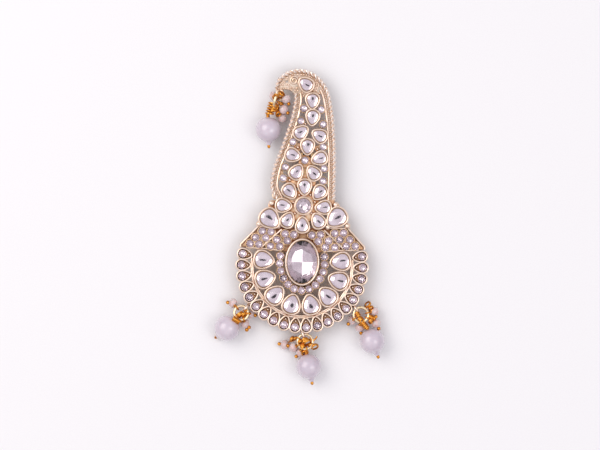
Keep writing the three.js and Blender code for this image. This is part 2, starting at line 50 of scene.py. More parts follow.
origin = Vector(((ovalLow.x + ovalHigh.x) / 2, (ovalLow.y + ovalHigh.y) / 2, 0))
toFrame = Matrix.Translation(origin) @ Matrix.Scale(mm, 4)
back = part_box("frame")[0].z / mm  # the casting's flat back
heights = {  # tops above the surface, as the casting has them
    "seat": back + 1.0,
    "plate": back + 1.2,
    "scallop": back + 1.9,
    "bezel": back + 2.5,
    "ovalBezel": back + 3.5,
}
sameCorner, sameHeight = 1e-4, 1e-3  # corners nearer than these are merged, or lie at one height
hair = 0.002  # a copy stands a hair higher than the last, so that no two undersides share a plane
dice = random.Random(7)


def placeOf(node):  # a node's corners in the modelling millimetres
    low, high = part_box(node)
    return (low - origin) / mm, (high - origin) / mm


# Handling


def takeUp(piece):
    bpy.ops.object.select_all(action="DESELECT")
    piece.select_set(True)
    bpy.context.view_layer.objects.active = piece


def edit(piece):
    takeUp(piece)
    bpy.ops.object.mode_set(mode="EDIT")
    bpy.context.tool_settings.mesh_select_mode = (True, False, False)
    bpy.ops.mesh.select_all(action="SELECT")


def doneEditing(merge=False):
    bpy.ops.mesh.select_all(action="SELECT")
    if merge:
        bpy.ops.mesh.remove_doubles(threshold=sameCorner)
    bpy.ops.mesh.normals_make_consistent(inside=False)
    bpy.ops.object.mode_set(mode="OBJECT")


def selectWhere(piece, kind, wanted):
    modes = ("verts", "edges", "faces")
    bpy.context.tool_settings.mesh_select_mode = tuple(kind == m for m in modes)
    bpy.ops.mesh.select_all(action="DESELECT")
    mesh = bmesh.from_edit_mesh(piece.data)
    for part in getattr(mesh, kind):
        if wanted(part):
            part.select_set(True)
    mesh.select_flush_mode()
    bmesh.update_edit_mesh(piece.data)


def lift(height):
    bpy.ops.mesh.extrude_region_move(TRANSFORM_OT_translate={"value": (0, 0, height)})


def modify(piece, kind, **settings):
    takeUp(piece)
    modifier = piece.modifiers.new(kind.title(), kind)
    for name, value in settings.items():
        setattr(modifier, name, value)
    bpy.ops.object.modifier_apply(modifier=modifier.name)


def newObject(name, data):
    thing = bpy.data.objects.new(name, data)
    bpy.context.scene.collection.objects.link(thing)
    return thing


def at(x, y, z=0.0):
    return Matrix.Translation((x, y, z))


def copyTo(model, matrix):
    twin = newObject(model.name, model.data.copy())
    twin.data.transform(matrix)
    return twin


def joined(name, pieces):
    takeUp(pieces[0])
    for piece in pieces:
        piece.select_set(True)
    if len(pieces) > 1:
        bpy.ops.object.join()
    whole = bpy.context.object
    whole.name = name
    whole.data.name = name
    return whole


def discard(*models):
    for model in models:
        bpy.data.objects.remove(model)


def scatter(model, places):  # a copy at each place in plan, and the model itself goes
    copies = [copyTo(model, at(place[0], place[1])) for place in places]
    discard(model)
    return copies


def foilTheBack(model, steepest=-0.05):  # glass everywhere, foil on the faces that look down enough
    for material in (glass, foil):
        model.data.materials.append(material)
    for face in model.data.polygons:
        face.material_index = int(face.normal.z < steepest)


def finishPiece(name, parts, materials, replaces=(), smooth=60):
    piece = joined(name, parts)
    if not piece.data.materials:
        for material in materials:
            piece.data.materials.append(material)
    piece.data.transform(toFrame)
    takeUp(piece)
    bpy.ops.object.shade_smooth_by_angle(angle=math.radians(smooth))
    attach(piece, "root")
    if replaces:
        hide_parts(*replaces)


# Starting shapes

pearTaper = 0.3  # how much a pear narrows towards its tip


def pearOutline(length, width, sides=36, narrowing=pearTaper):  # flat, narrow end towards +X
    bpy.ops.object.select_all(action="DESELECT")
    bpy.ops.mesh.primitive_circle_add(vertices=sides, radius=1, fill_type="NGON")
    outline = bpy.context.object
    edit(outline)
    bpy.ops.transform.resize(value=(length / 2, width / 2, 1), center_override=(0, 0, 0))
    bpy.ops.object.mode_set(mode="OBJECT")
    if narrowing:
        modify(outline, "SIMPLE_DEFORM", deform_method="TAPER", deform_axis="X", factor=-2 * narrowing)
    return outline


def roundOutline(radius, sides):
    return pearOutline(2 * radius, 2 * radius, sides, 0)


def atHeight(z):
    return lambda edge: all(abs(v.co.z - z) < sameHeight for v in edge.verts)


def cup(outline, bottom, top, floor, wall, rim=0.0):  # a closed cup, with a rounded rim if one is asked for
    edit(outline)
    bpy.ops.transform.translate(value=(0, 0, bottom))
    lift(top - bottom)
    bpy.ops.mesh.inset(thickness=wall)
    lift(floor - top)
    if rim:
        selectWhere(outline, "edges", atHeight(top))
        bpy.ops.mesh.bevel(offset=rim, segments=3, affect="EDGES")
    doneEditing()
    return outline


def slab(outline, bottom, top, edge):  # a plate with a softened upper edge
    edit(outline)
    bpy.ops.transform.translate(value=(0, 0, bottom))
    lift(top - bottom)
    selectWhere(outline, "edges", atHeight(top))
    bpy.ops.mesh.bevel(offset=edge, segments=2, affect="EDGES")
    doneEditing()
    return outline


def turned(profile, sides):  # a closed round shape from a profile of radius and height
    mesh = bpy.data.meshes.new("turned")
    mesh.from_pydata([(r, 0, z) for r, z in profile], [(i, i + 1) for i in range(len(profile) - 1)], [])
    piece = newObject("turned", mesh)
    edit(piece)
    bpy.ops.mesh.spin(steps=sides, angle=2 * math.pi, center=(0, 0, 0), axis=(0, 0, 1))
    doneEditing(merge=True)
    return piece


def addCurve(name, lines, closed=False, **settings):
    curve = bpy.data.curves.new(name, "CURVE")
    for setting, value in settings.items():
        setattr(curve, setting, value)
    for line in lines:
        spline = curve.splines.new("POLY")
        spline.points.add(len(line) - 1)
        for point, place in zip(spline.points, line):
            point.co = (*place, 1)
        spline.use_cyclic_u = closed
    return newObject(name, curve)


def convertCurve(path):
    takeUp(path)
    bpy.ops.object.convert(target="MESH")
    piece = bpy.context.object
    edit(piece)
    return piece


def wireLine(points, radius, closed=False, roundness=2):
    wire = convertCurve(addCurve("wire", [points], closed, dimensions="3D", bevel_depth=radius,
                                 bevel_resolution=roundness, use_fill_caps=not closed))
    doneEditing(merge=True)
    return wire


def flatPlate(loops, bottom, top, edge):  # a plate from flat outlines; an inner outline is a hole
    plate = convertCurve(addCurve("plate", [atZ(loop, 0) for loop in loops], True, dimensions="2D",
                                  fill_mode="BOTH", extrude=(top - bottom) / 2))
    bpy.ops.transform.translate(value=(0, 0, (top + bottom) / 2))
    doneEditing(merge=True)
    modify(plate, "BEVEL", width=edge, segments=2, limit_method="ANGLE", angle_limit=math.radians(60))
    return plate


def smoothLine(route, inset=0.0, spacing=0.35):  # evenly spaced points, moved to the line's right
    between = 24  # points worked out between two of the route's own
    dense = []
    count = len(route)
    for i in range(count - 1):
        a, b, c, d = (Vector(route[min(max(i + k, 0), count - 1)]) for k in (-1, 0, 1, 2))
        for j in range(between):
            t = j / between
            dense.append(0.5 * (2 * b + (c - a) * t + (2 * a - 5 * b + 4 * c - d) * t * t
                                + (3 * b - a - 3 * c + d) * t ** 3))
    dense.append(Vector(route[-1]))
    lengths = [0.0]
    for p, q in zip(dense, dense[1:]):
        lengths.append(lengths[-1] + (q - p).length)
    steps = max(2, round(lengths[-1] / spacing))
    places, k = [], 0
    for i in range(steps + 1):
        target = lengths[-1] * i / steps
        while k < len(dense) - 2 and lengths[k + 1] < target:
            k += 1
        way = (dense[k + 1] - dense[k]).normalized()
        share = (target - lengths[k]) / max(lengths[k + 1] - lengths[k], 1e-9)
        places.append(dense[k].lerp(dense[k + 1], share) + Vector((way.y, -way.x)) * inset)
    return places


def atZ(points, z):
    return [(p[0], p[1], z) for p in points]


def turn(degrees):
    return Matrix.Rotation(math.radians(degrees), 4, "Z")


def lean(most):  # a small lean to a side that the dice choose
    return Matrix.Rotation(math.radians(dice.uniform(-1, 1) * most), 4, "X") @ \
        Matrix.Rotation(math.radians(dice.uniform(-1, 1) * most), 4, "Y")


def heading(degrees, raised=0):  # a direction at an angle in plan, raised above the level
    a, e = math.radians(degrees), math.radians(raised)
    return Vector((math.cos(e) * math.cos(a), math.cos(e) * math.sin(a), math.sin(e)))


# Places of the settings, as the casting has them

medallion = {
    "y": -1.5, "pearPairs": 4, "pearStep": 28.3, "pearRadius": 12,
    "scallopRadius": 18.2, "scallopPairs": 10, "scallopStep": 10.65,
    "scallopLength": 5.1, "scallopWidth": 3.75, "stoneOut": 0.6,
    "bandRadius": 15.5, "bandEnd": 99, "bandWidth": 1.1,
}
halo = {"halfWidth": 6.95, "halfHeight": 8.85, "spacing": 2.37, "pairs": 6}
pearSizes = {
    "small": {"length": 4.5, "width": 3.6, "crown": 1.0},
    "medallion": {"length": 5.8, "width": 4.9, "crown": 1.2},
    "shoulder": {"length": 6.3, "width": 5.3, "crown": 1.2},
}
plumeRhinestones = [
    (-0.7, 47.6), (4.7, 47.4), (-1.5, 43.7), (5.5, 42.8), (-3.8, 37.2), (5.6, 35.8),
    (0.1, 31.5), (-6.0, 29.3), (-6.5, 25.9), (6.1, 29.1), (5.9, 25.3),
]
wingRhinestones = [
    (2.8, 8.4), (5.5, 8.6), (4.8, 6.5), (8.0, 6.7), (7.1, 4.7), (10.0, 4.7),
    (9.9, 9.1), (12.6, 9.3), (11.5, 7.2), (14.6, 7.2), (13.5, 5.2), (16.3, 5.3),
]
flowerCentre = (0.0, 17.4)


def aroundMedallion(radius, pairs, step):  # places in pairs about straight down, and their tips
    places = []
    for i in range(2 * pairs):
        angle = math.radians((i - pairs + 0.5) * step)
        places.append((radius * math.sin(angle), medallion["y"] - radius * math.cos(angle),
                       90 + math.degrees(angle)))
    return places


def pearPlace(node, size, tip):  # turned to its tip, with its box over the CAD stone's box
    low, high = placeOf(node)
    corners = []
    for i in range(180):
        angle = math.radians(2 * i)
        lengthwise = size["length"] / 2 * math.cos(angle)
        crosswise = size["width"] / 2 * math.sin(angle) * (1 - pearTaper * math.cos(angle))
        corners.append(turn(tip) @ Vector((lengthwise, crosswise, 0)))
    shift = [(low[k] + high[k]) / 2 - (min(c[k] for c in corners) + max(c[k] for c in corners)) / 2
             for k in (0, 1)]
    return at(*shift) @ turn(tip)


def numbered(name, tips):  # a row of nodes is counted from 1
    return {f"{name}_{i + 1}": tip for i, tip in enumerate(tips)}


ringOfPears = aroundMedallion(medallion["pearRadius"], medallion["pearPairs"], medallion["pearStep"])
pearTips = {  # for each size the nodes, with the direction of the narrow end in degrees
    "small": {**numbered("plume_pear", (140, 270, 264, 38, 150, 270, 345, 200, 60, 128)),
              **numbered("flower_pear", (270, 310, 356, 65, 92, 120, 186, 232))},
    "medallion": numbered("medallion_pear", [tip for x, y, tip in ringOfPears]),
    "shoulder": {"shoulder_pear_right": 222, "shoulder_pear_left": -42},
}
pearGroups = {kind: [(node, pearPlace(node, pearSizes[kind], tip)) for node, tip in nodes.items()]
              for kind, nodes in pearTips.items()}


# Materials


def toLinear(colour):
    parts = [int(colour[i:i + 2], 16) / 255 for i in (1, 3, 5)]
    return (*[c / 12.92 if c <= 0.04045 else ((c + 0.055) / 1.055) ** 2.4 for c in parts], 1)


def addNode(tree, kind, settings=None, inputs=None):
    node = tree.nodes.new(kind)
    for name, value in (settings or {}).items():
        setattr(node, name, value)
    for name, value in (inputs or {}).items():
        if isinstance(value, bpy.types.NodeSocket):
            tree.links.new(value, node.inputs[name])
        else:
            node.inputs[name].default_value = value
    return node


def newMaterial(name, values):
    material = bpy.data.materials.new(name)
    material.use_nodes = True
    tree = material.node_tree
    shader = tree.nodes["Principled BSDF"]
    for socket, value in values.items():
        shader.inputs[socket].default_value = value
    place = addNode(tree, "ShaderNodeTexCoord").outputs["Object"]
    return material, tree, shader, place


def perMetre(size):  # a noise scale for features of a size in millimetres
    return 1 / (size * mm)


def addRelief(tree, shader, place, size, strength, depth, detail=2):  # fine hollows that only the light feels
    noise = addNode(tree, "ShaderNodeTexNoise", None,
                    {"Vector": place, "Scale": perMetre(size), "Detail": detail})
    bump = addNode(tree, "ShaderNodeBump", None,
                   {"Height": noise.outputs["Fac"], "Strength": strength, "Distance": depth * mm})
    tree.links.new(bump.outputs["Normal"], shader.inputs["Normal"])


def addMottle(tree, shader, place, size, colours, polish=None):  # a slow change of colour and polish
    cloud = addNode(tree, "ShaderNodeTexNoise", None,
                    {"Vector": place, "Scale": perMetre(size), "Detail": 3})
    tint = addNode(tree, "ShaderNodeValToRGB", None, {"Fac": cloud.outputs["Fac"]})
    tint.color_ramp.elements[0].position, tint.color_ramp.elements[1].position = 0.35, 0.65
    for stop, colour in zip(tint.color_ramp.elements, colours):
        stop.color = toLinear(colour)
    if polish:
        remapped = addNode(tree, "ShaderNodeMapRange", None, {
            "Value": cloud.outputs["Fac"], "From Min": 0.3, "From Max": 0.7,
            "To Min": polish[0], "To Max": polish[1]})
        tree.links.new(remapped.outputs["Result"], shader.inputs["Roughness"])
    return tint.outputs["Color"]


def surfaceOf(name, values, relief, mottle=None):
    material, tree, shader, place = newMaterial(name, values)
    if mottle:
        tree.links.new(addMottle(tree, shader, place, **mottle), shader.inputs["Base Color"])
    addRelief(tree, shader, place, **relief)
    return material


def castGold(name, openColours, hollow, polish, reach, unshadedFrom=0.75, pits=0.3, pitDepth=0.03):
    # gold plate over a zinc casting: its own mottled cream where a place is open, and a painted shade,
    # coppery brown, mixed in down the recesses where ambient occlusion finds walls near; its pits are drawn
    # coarser than real ones, so that they show
    material, tree, shader, place = newMaterial(name, {"Metallic": 1.0})
    bright = addMottle(tree, shader, place, size=1.6, colours=openColours, polish=polish)
    # painted shade: the hollow colour is mixed in as the ambient occlusion here grows
    exposed = addNode(tree, "ShaderNodeAmbientOcclusion", {"samples": 6}, {"Distance": reach * mm})
    remapped = addNode(tree, "ShaderNodeMapRange", {"interpolation_type": "SMOOTHSTEP"}, {
        "Value": exposed.outputs["AO"], "From Min": 0.2, "From Max": unshadedFrom})
    mixed = addNode(tree, "ShaderNodeMixRGB", None, {
        "Fac": remapped.outputs["Result"], "Color1": toLinear(hollow), "Color2": bright})
    tree.links.new(mixed.outputs["Color"], shader.inputs["Base Color"])
    addRelief(tree, shader, place, size=pits, strength=0.35, depth=pitDepth)
    return material


def wireGold(name, colours, polish):  # drawn and plated wire: bright, with a little wear
    return surfaceOf(name, {"Metallic": 1.0}, {"size": 0.15, "strength": 0.15, "depth": 0.01},
                     {"size": 0.7, "colours": colours, "polish": polish})


# the colours in the open and the painted shade colour in the hollows, its polish, how near in millimetres the
# walls of a hollow darken it with painted shade, and how open a place has to be to get none of it
castingGold = castGold("goldPlatedCasting", ("#DCBE9E", "#E9D0B6"), "#A8642C", (0.32, 0.46), 1.1)
# a darker copy of the plating, painted shade for sunk plates, cups and scallop floors, with stronger painted
# shade in its hollows
shadedRecessGold = castGold("goldPlatedRecesses", ("#E6BE94", "#F2D6B4"), "#6B3414", (0.3, 0.44), 1.6, 0.88)
# a lighter copy of the plating, a painted highlight on raised rims, wires and grains
litRimGold = castGold("goldPlatedRims", ("#F1D7C0", "#FAE5D6"), "#A66C40", (0.26, 0.4), 0.8)
# a darker copy of the plating, painted shade for the dark line just inside each bezel rim
shadedSeatGold = castGold("goldPlatedSeats", ("#A88260", "#C2A07C"), "#6B3414", (0.3, 0.44), 0.8, 0.9)
ropeGold = castGold("goldPlatedRope", ("#F4E4D8", "#FBF1EA"), "#D8B496", (0.24, 0.36), 0.6, 0.7)
borderGold = castGold("goldPlatedBorder", ("#B8A392", "#D2C2B4"), "#C09870", (0.34, 0.5), 0.9, 0.8,
                      pits=0.6, pitDepth=0.1)  # rougher, so the border looks matt

# pressed and polished glass, clear with a faint lavender cast
glass = surfaceOf("pressedClearGlass", {
    "Base Color": toLinear("#F7F3FA"), "Transmission Weight": 1.0, "IOR": 1.52, "Roughness": 0.0,
}, {"size": 1.4, "strength": 0.25, "depth": 0.02, "detail": 0})
# silver foil behind the glass, a little creased, so no stone is evenly bright
foil = surfaceOf("silverFoilBacking", {"Metallic": 1.0, "Roughness": 0.07},
                 {"size": 0.9, "strength": 0.4, "depth": 0.02, "detail": 1},
                 {"size": 2.2, "colours": ("#D6C9CC", "#EADFE1")})
# nacre lacquer dipped over a round core: soft, lavender white, pinker in patches
nacre = surfaceOf("pearlNacreLacquer", {
    "Roughness": 0.22, "Coat Weight": 1.0, "Coat Roughness": 0.16, "Subsurface Weight": 0.15,
    "Subsurface Radius": (1.0, 0.7, 0.75), "Subsurface Scale": 1.2 * mm,
}, {"size": 0.8, "strength": 0.12, "depth": 0.02}, {"size": 4.0, "colours": ("#C8BBC8", "#D4C8D2")})
# milky pink glass, tumbled, so light passes into it
pinkGlass = surfaceOf("milkyPinkGlass", {
    "Roughness": 0.22, "Coat Weight": 0.4, "Coat Roughness": 0.08, "Subsurface Weight": 0.6,
    "Subsurface Radius": (1.0, 0.55, 0.5), "Subsurface Scale": 1.0 * mm,
}, {"size": 0.5, "strength": 0.1, "depth": 0.02}, {"size": 1.5, "colours": ("#CBB1AE", "#DCC8C8")})
orangeWire = wireGold("orangeGoldPlatedWire", ("#BE7224", "#EEAC50"), (0.14, 0.26))
ringWire = wireGold("paleGoldPlatedWire", ("#F3D9AE", "#FCECCB"), (0.22, 0.34))
pinMetal = wireGold("goldPlatedPinStock", ("#C9A880", "#DCC09A"), (0.25, 0.4))
print("materials ready")


# The set stones: clear glass over a foiled back, in one closed shape each

pearCut = {
    "seatGap": 0.12, "sideGap": 0.15, "girdleBelowRim": 0.2, "apexOff": 0.15, "backDip": 0.05, "tilt": 2.0,
    "middle": 0.2, "foilUpTo": 0.1,
    "rings": [(0.92, 0.9, 0.38), (0.78, 0.7, 0.68), (0.62, 0.46, 0.9), (0.34, 0.18, 1.0)],
}


def pearStone(size):
    model = pearOutline(size["length"] - 2 * pearCut["sideGap"], size["width"] - 2 * pearCut["sideGap"])
    bottom = heights["plate"] + pearCut["seatGap"]
    girdle = heights["bezel"] - pearCut["girdleBelowRim"]
    apex = -pearCut["apexOff"] * size["length"]
    edit(model)
    bpy.ops.transform.translate(value=(0, 0, bottom))
    lift(girdle - bottom)
    done = (1.0, 1.0, 0.0)
    for lengthShare, widthShare, rise in pearCut["rings"]:
        lift(size["crown"] * (rise - done[2]))
        bpy.ops.transform.resize(value=(lengthShare / done[0], widthShare / done[1], 1),
                                 center_override=(apex, 0, girdle))
        done = (lengthShare, widthShare, rise)
    selectWhere(model, "faces", lambda f: f.calc_center_median().z < bottom + sameHeight)
    bpy.ops.mesh.poke(offset=0)
    selectWhere(model, "verts", lambda v: v.co.z < bottom + sameHeight
                and v.co.xy.length < pearCut["middle"] * size["length"])
    bpy.ops.transform.translate(value=(apex, 0, -pearCut["backDip"]))
    doneEditing()
    foilTheBack(model, pearCut["foilUpTo"])  # the foil is folded up the pears' walls too
    return model


for kind, size in pearSizes.items():
    model = pearStone(size)
    middle = at(0, 0, heights["bezel"])
    copies = [copyTo(model, place @ middle @ lean(pearCut["tilt"]) @ middle.inverted())
              for node, place in pearGroups[kind]]
    discard(model)
    finishPiece(f"{kind}PearStones", copies, [glass, foil],
                [node for node, place in pearGroups[kind]], smooth=40)
print("pear stones set")


# Larger crystals are cut as a lapidary would: a blank, then one flat facet after another


def facet(piece, azimuth, slope, place):  # cuts away what lies outside a plane through a place
    a, e = math.radians(azimuth), math.radians(slope)
    outward = (math.sin(abs(e)) * math.cos(a), math.sin(abs(e)) * math.sin(a),
               math.copysign(math.cos(e), slope))
    edit(piece)
    bpy.ops.mesh.bisect(plane_co=place, plane_no=outward, use_fill=True, clear_outer=True)
    doneEditing(merge=True)


ovalStone = {
    "length": 13.6, "width": 9.6, "crown": 1.4, "sides": 48, "keel": heights["plate"] + 0.1,
    "girdleBelowRim": 0.4, "crownCuts": 16, "tableShare": 0.66, "quarterSlope": 11.0, "quarterTurn": 18,
    "fans": [{"from": 3.8, "slope": 12.5, "turns": (-30, 0, 30)},
             {"from": 6.4, "slope": 19.0, "turns": (-50, 46)}],
}
roundStone = {
    "radius": 2.45, "crown": 0.9, "sides": 36, "keel": heights["plate"] + 0.12, "girdleBelowRim": 0.2,
    "crownCuts": 8, "tableShare": 0.5, "pavilionCuts": 8, "pavilionSlope": 12.3, "pavilionTurn": 11,
    "culet": {"x": -0.5, "y": -0.3, "lift": 0.07, "slope": 1.5, "facing": 200},
}


def crystalBlank(size, length, width, rim):  # an upright blank with its crown facets cut
    girdle = rim - size["girdleBelowRim"]
    table = girdle + size["crown"]
    blank = pearOutline(length, width, size["sides"], 0)
    edit(blank)
    bpy.ops.transform.translate(value=(0, 0, size["keel"]))
    lift(table - size["keel"])
    doneEditing()
    for i in range(size["crownCuts"]):
        angle = 2 * math.pi * (i + 0.5) / size["crownCuts"]
        out = Vector((math.cos(angle) / length, math.sin(angle) / width, 0)).normalized()
        edge = Vector((length / 2 * math.cos(angle), width / 2 * math.sin(angle), girdle))
        inset = (1 - size["tableShare"]) * edge.xy.dot(out.xy)
        azimuth, slope = math.atan2(out.y, out.x), math.atan2(size["crown"], inset)
        facet(blank, math.degrees(azimuth), math.degrees(slope), edge)
    return blank


model = crystalBlank(ovalStone, ovalStone["width"], ovalStone["length"], heights["ovalBezel"])
quarterTurn, quarterSlope = math.radians(ovalStone["quarterTurn"]), math.radians(ovalStone["quarterSlope"])
for quarter in range(4):  # four broad facets under the table, and a fan of steeper ones at each end
    side, end = (1, -1)[quarter % 2], (1, -1)[quarter // 2]
    azimuth = math.degrees(math.atan2(end * math.sin(quarterTurn), side * math.cos(quarterTurn)))
    facet(model, azimuth, -ovalStone["quarterSlope"], (0, 0, ovalStone["keel"]))
for end in (1, -1):
    climb = math.tan(quarterSlope) * math.sin(quarterTurn)
    height, reached = ovalStone["keel"], 0.0
    for fan in ovalStone["fans"]:
        height += climb * (fan["from"] - reached)
        reached = fan["from"]
        climb = math.tan(math.radians(fan["slope"]))
        for aside in fan["turns"]:
            facet(model, 90 * end + aside, -fan["slope"], (0, end * reached, height))
foilTheBack(model)
finishPiece("ovalStone", [model], [glass, foil], ["oval_stone"], smooth=1)

model = crystalBlank(roundStone, 2 * roundStone["radius"], 2 * roundStone["radius"], heights["bezel"])
culet = roundStone["culet"]
for i in range(roundStone["pavilionCuts"]):
    azimuth = 360 * i / roundStone["pavilionCuts"] + roundStone["pavilionTurn"]
    facet(model, azimuth, -roundStone["pavilionSlope"], (culet["x"], culet["y"], roundStone["keel"]))
facet(model, culet["facing"], -culet["slope"], (culet["x"], culet["y"], roundStone["keel"] + culet["lift"]))
foilTheBack(model)
model.data.transform(at(*flowerCentre))
finishPiece("roundStone", [model], [glass, foil], ["round_stone"], smooth=1)
print("crystals cut")

rhinestone = {
    "radius": 1.12, "table": 0.55, "girdle": heights["scallop"], "band": 0.08, "rise": 0.45, "depth": 0.36,
    "shallow": 0.26, "sides": 8, "tilt": 5.0, "inScallop": 1.08,
}


def chatonStone(depth):  # a pavilion down to a point, a narrow girdle, and a crown up to a flat table
    low, high = rhinestone["girdle"] - rhinestone["band"], rhinestone["girdle"] + rhinestone["rise"]
    model = roundOutline(rhinestone["radius"], rhinestone["sides"])
    edit(model)
    bpy.ops.transform.translate(value=(0, 0, low))
    lift(rhinestone["girdle"] - low)
    lift(high - rhinestone["girdle"])
    table = rhinestone["table"]
    bpy.ops.transform.resize(value=(table, table, 1), center_override=(0, 0, high))
    selectWhere(model, "faces", lambda f: f.normal.z < -0.9)
    bpy.ops.mesh.poke(offset=0)
    selectWhere(model, "verts", lambda v: v.co.xy.length < sameHeight and v.co.z < low + sameHeight)
    bpy.ops.transform.translate(value=(0, 0, rhinestone["girdle"] - depth - low))
    doneEditing()
    foilTheBack(model)
    return model


def haloPlaces():  # even steps round an ellipse, both ways from straight down
    count = 2880
    dense = []
    for i in range(count + 1):
        angle = -math.pi / 2 + 2 * math.pi * i / count
        dense.append(Vector((halo["halfWidth"] * math.cos(angle), halo["halfHeight"] * math.sin(angle))))
    run = [0.0]
    for p, q in zip(dense, dense[1:]):
        run.append(run[-1] + (q - p).length)
    places = []
    for i in range(-halo["pairs"], halo["pairs"] + 1):
        target = (i * halo["spacing"]) % run[-1]
        places.append(tuple(dense[min(range(len(run)), key=lambda k: abs(run[k] - target))]))
    return places


scallops = aroundMedallion(medallion["scallopRadius"], medallion["scallopPairs"], medallion["scallopStep"])
smallStones = {
    "scallop": [(x - medallion["stoneOut"] * math.cos(math.radians(tip)),
                 y - medallion["stoneOut"] * math.sin(math.radians(tip))) for x, y, tip in scallops],
    "wing": wingRhinestones + [(-x, y) for x, y in wingRhinestones],
    "halo": haloPlaces(),
    "plume": plumeRhinestones,
}
for kind, places in smallStones.items():
    depth = rhinestone["shallow" if kind == "plume" else "depth"]  # a flatter back shows brighter
    model = chatonStone(depth)
    middle = at(0, 0, rhinestone["girdle"])
    grown = rhinestone["inScallop"] if kind == "scallop" else 1
    copies = [copyTo(model, at(x, y) @ middle @ lean(rhinestone["tilt"])
                     @ turn(dice.uniform(0, 45)) @ Matrix.Diagonal((grown, grown, 1, 1)) @ middle.inverted())
              for x, y in places]
    discard(model)
    finishPiece(f"{kind}Rhinestones", copies, [glass, foil], smooth=1)
print("rhinestones set")


# The casting: plates first, then the settings on them

plumeLeft = [(-8.6, 18.7), (-10.3, 21.8), (-10.6, 25.0), (-9.6, 30.2), (-7.8, 35.0), (-6.2, 40.0),
             (-4.7, 45.0), (-3.9, 50.0), (-4.1, 52.2)]
hookUnderside = [(-5.0, 53.1), (-7.0, 53.3), (-9.2, 53.0)]
plumeRight = [(-9.9, 53.8), (-9.2, 56.4), (-6.7, 58.7), (-3.2, 59.9), (0.5, 59.5), (3.8, 57.7), (6.3, 54.7),
              (7.7, 51.2), (8.8, 45.2), (9.4, 39.0), (9.8, 32.0), (9.9, 25.0), (9.9, 19.4)]
plumePlate = {
    "edge": 0.12, "overhang": 0.3, "fieldInset": 2.5, "leftTop": 51.4, "rightTop": 52.4, "rightFrom": 3,
    "slot": {"x": -6.1, "y": 55.8, "length": 0.9, "width": 0.5, "turn": 40, "sides": 12},
}
underside = back + 0.03  # the plates' undersides lie a hair above those of the settings
outer = smoothLine(plumeLeft, plumePlate["overhang"]) + smoothLine(hookUnderside) + \
    smoothLine(plumeRight, plumePlate["overhang"])  # the rope stands out over the plate's edge
opening = [p for p in smoothLine(plumeLeft, plumePlate["fieldInset"]) if p.y < plumePlate["leftTop"]] + \
    [p for p in smoothLine(plumeRight, plumePlate["fieldInset"])
     if p.x > plumePlate["rightFrom"] and p.y < plumePlate["rightTop"]]
slot = plumePlate["slot"]
slotOutline = []
for i in range(slot["sides"]):
    angle = 2 * math.pi * i / slot["sides"]
    place = turn(slot["turn"]) @ Vector((slot["length"] / 2 * math.cos(angle),
                                         slot["width"] / 2 * math.sin(angle), 0))
    slotOutline.append((slot["x"] + place.x, slot["y"] + place.y))
plume = flatPlate([outer, opening, slotOutline], underside, heights["plate"], plumePlate["edge"])
finishPiece("plumePlate", [plume], [borderGold], smooth=40)

wingEdge = [(0, 10.6), (6.0, 10.5), (9.0, 11.0), (13.9, 10.9), (19.2, 5.3), (19.4, 4.3), (17.0, 3.9),
            (12.0, 3.6), (9.0, 3.4), (5.0, 3.0), (0, 6.5)]  # of the right wing; the left one mirrors it
wingTop = heights["seat"] - 0.3  # sunk, so that it looks dark between the cups; its darker gold adds painted shade
leftWing = [(-x, y) for x, y in wingEdge[-2:0:-1]]
wings = flatPlate([wingEdge + leftWing], underside, wingTop, plumePlate["edge"])
finishPiece("wingPlates", [wings], [shadedRecessGold], smooth=40)

arcHalf = 60  # points in each half of the band's arc
arc = [math.radians(medallion["bandEnd"] * i / arcHalf) for i in range(-arcHalf, arcHalf + 1)]


def arcLine(radius):
    return [(radius * math.sin(a), medallion["y"] - radius * math.cos(a)) for a in arc]


halfBand = medallion["bandWidth"] / 2
bandLoop = arcLine(medallion["bandRadius"] + halfBand) + arcLine(medallion["bandRadius"] - halfBand)[::-1]
bandBottom, bandTop = underside + 0.02, heights["plate"] + 0.1
plates = [flatPlate([bandLoop], bandBottom, bandTop, plumePlate["edge"])]

web = {"sides": 24, "edge": 0.2, "bottom": back + 0.1, "top": heights["plate"] - 0.02, "thinner": 0.01}
webs = [  # plain metal between some settings: x, y, radius
    (0.0, 17.4, 5.2), (0.1, 31.2, 2.0), (-2.2, 35.6, 1.3), (3.9, 35.3, 1.0), (-4.6, 25.2, 1.2),
    (0.2, 26.0, 1.4), (-2.4, 24.2, 1.4), (2.4, 24.6, 1.2), (-8.0, 27.4, 1.5), (-8.7, 20.4, 1.2),
    (8.3, 20.0, 1.5), (9.6, 17.4, 1.6), (-9.4, 17.4, 1.6),
]
for i, (x, y, radius) in enumerate(webs):  # each is a little thinner, so that no two share a plane
    thinner = web["thinner"] * i
    plates.append(slab(roundOutline(radius, web["sides"]), web["bottom"] + thinner, web["top"] - thinner,
                       web["edge"]))
    plates[-1].data.transform(at(x, y))
finishPiece("castingPlates", plates, [castingGold], ["frame"], smooth=40)
print("casting plates cut")

# The rim wire, lighter with a painted highlight, and the seat wire inside it, darker with the painted shade
# line round the stone:
# radius, how far out of the stone's edge, how far down
bezel = {
    "fit": 0.15, "wall": 0.4, "floor": heights["plate"] - 0.1,
    "pear": {"rim": (0.29, 0.26, 0.29), "seat": (0.13, -0.09, 0.13)},
    "oval": {"rim": (0.3, 0.25, 0.3), "seat": (0.12, -0.08, 0.32)},
    "round": {"rim": (0.24, 0.2, 0.24), "seat": (0.12, -0.06, 0.14)},
}


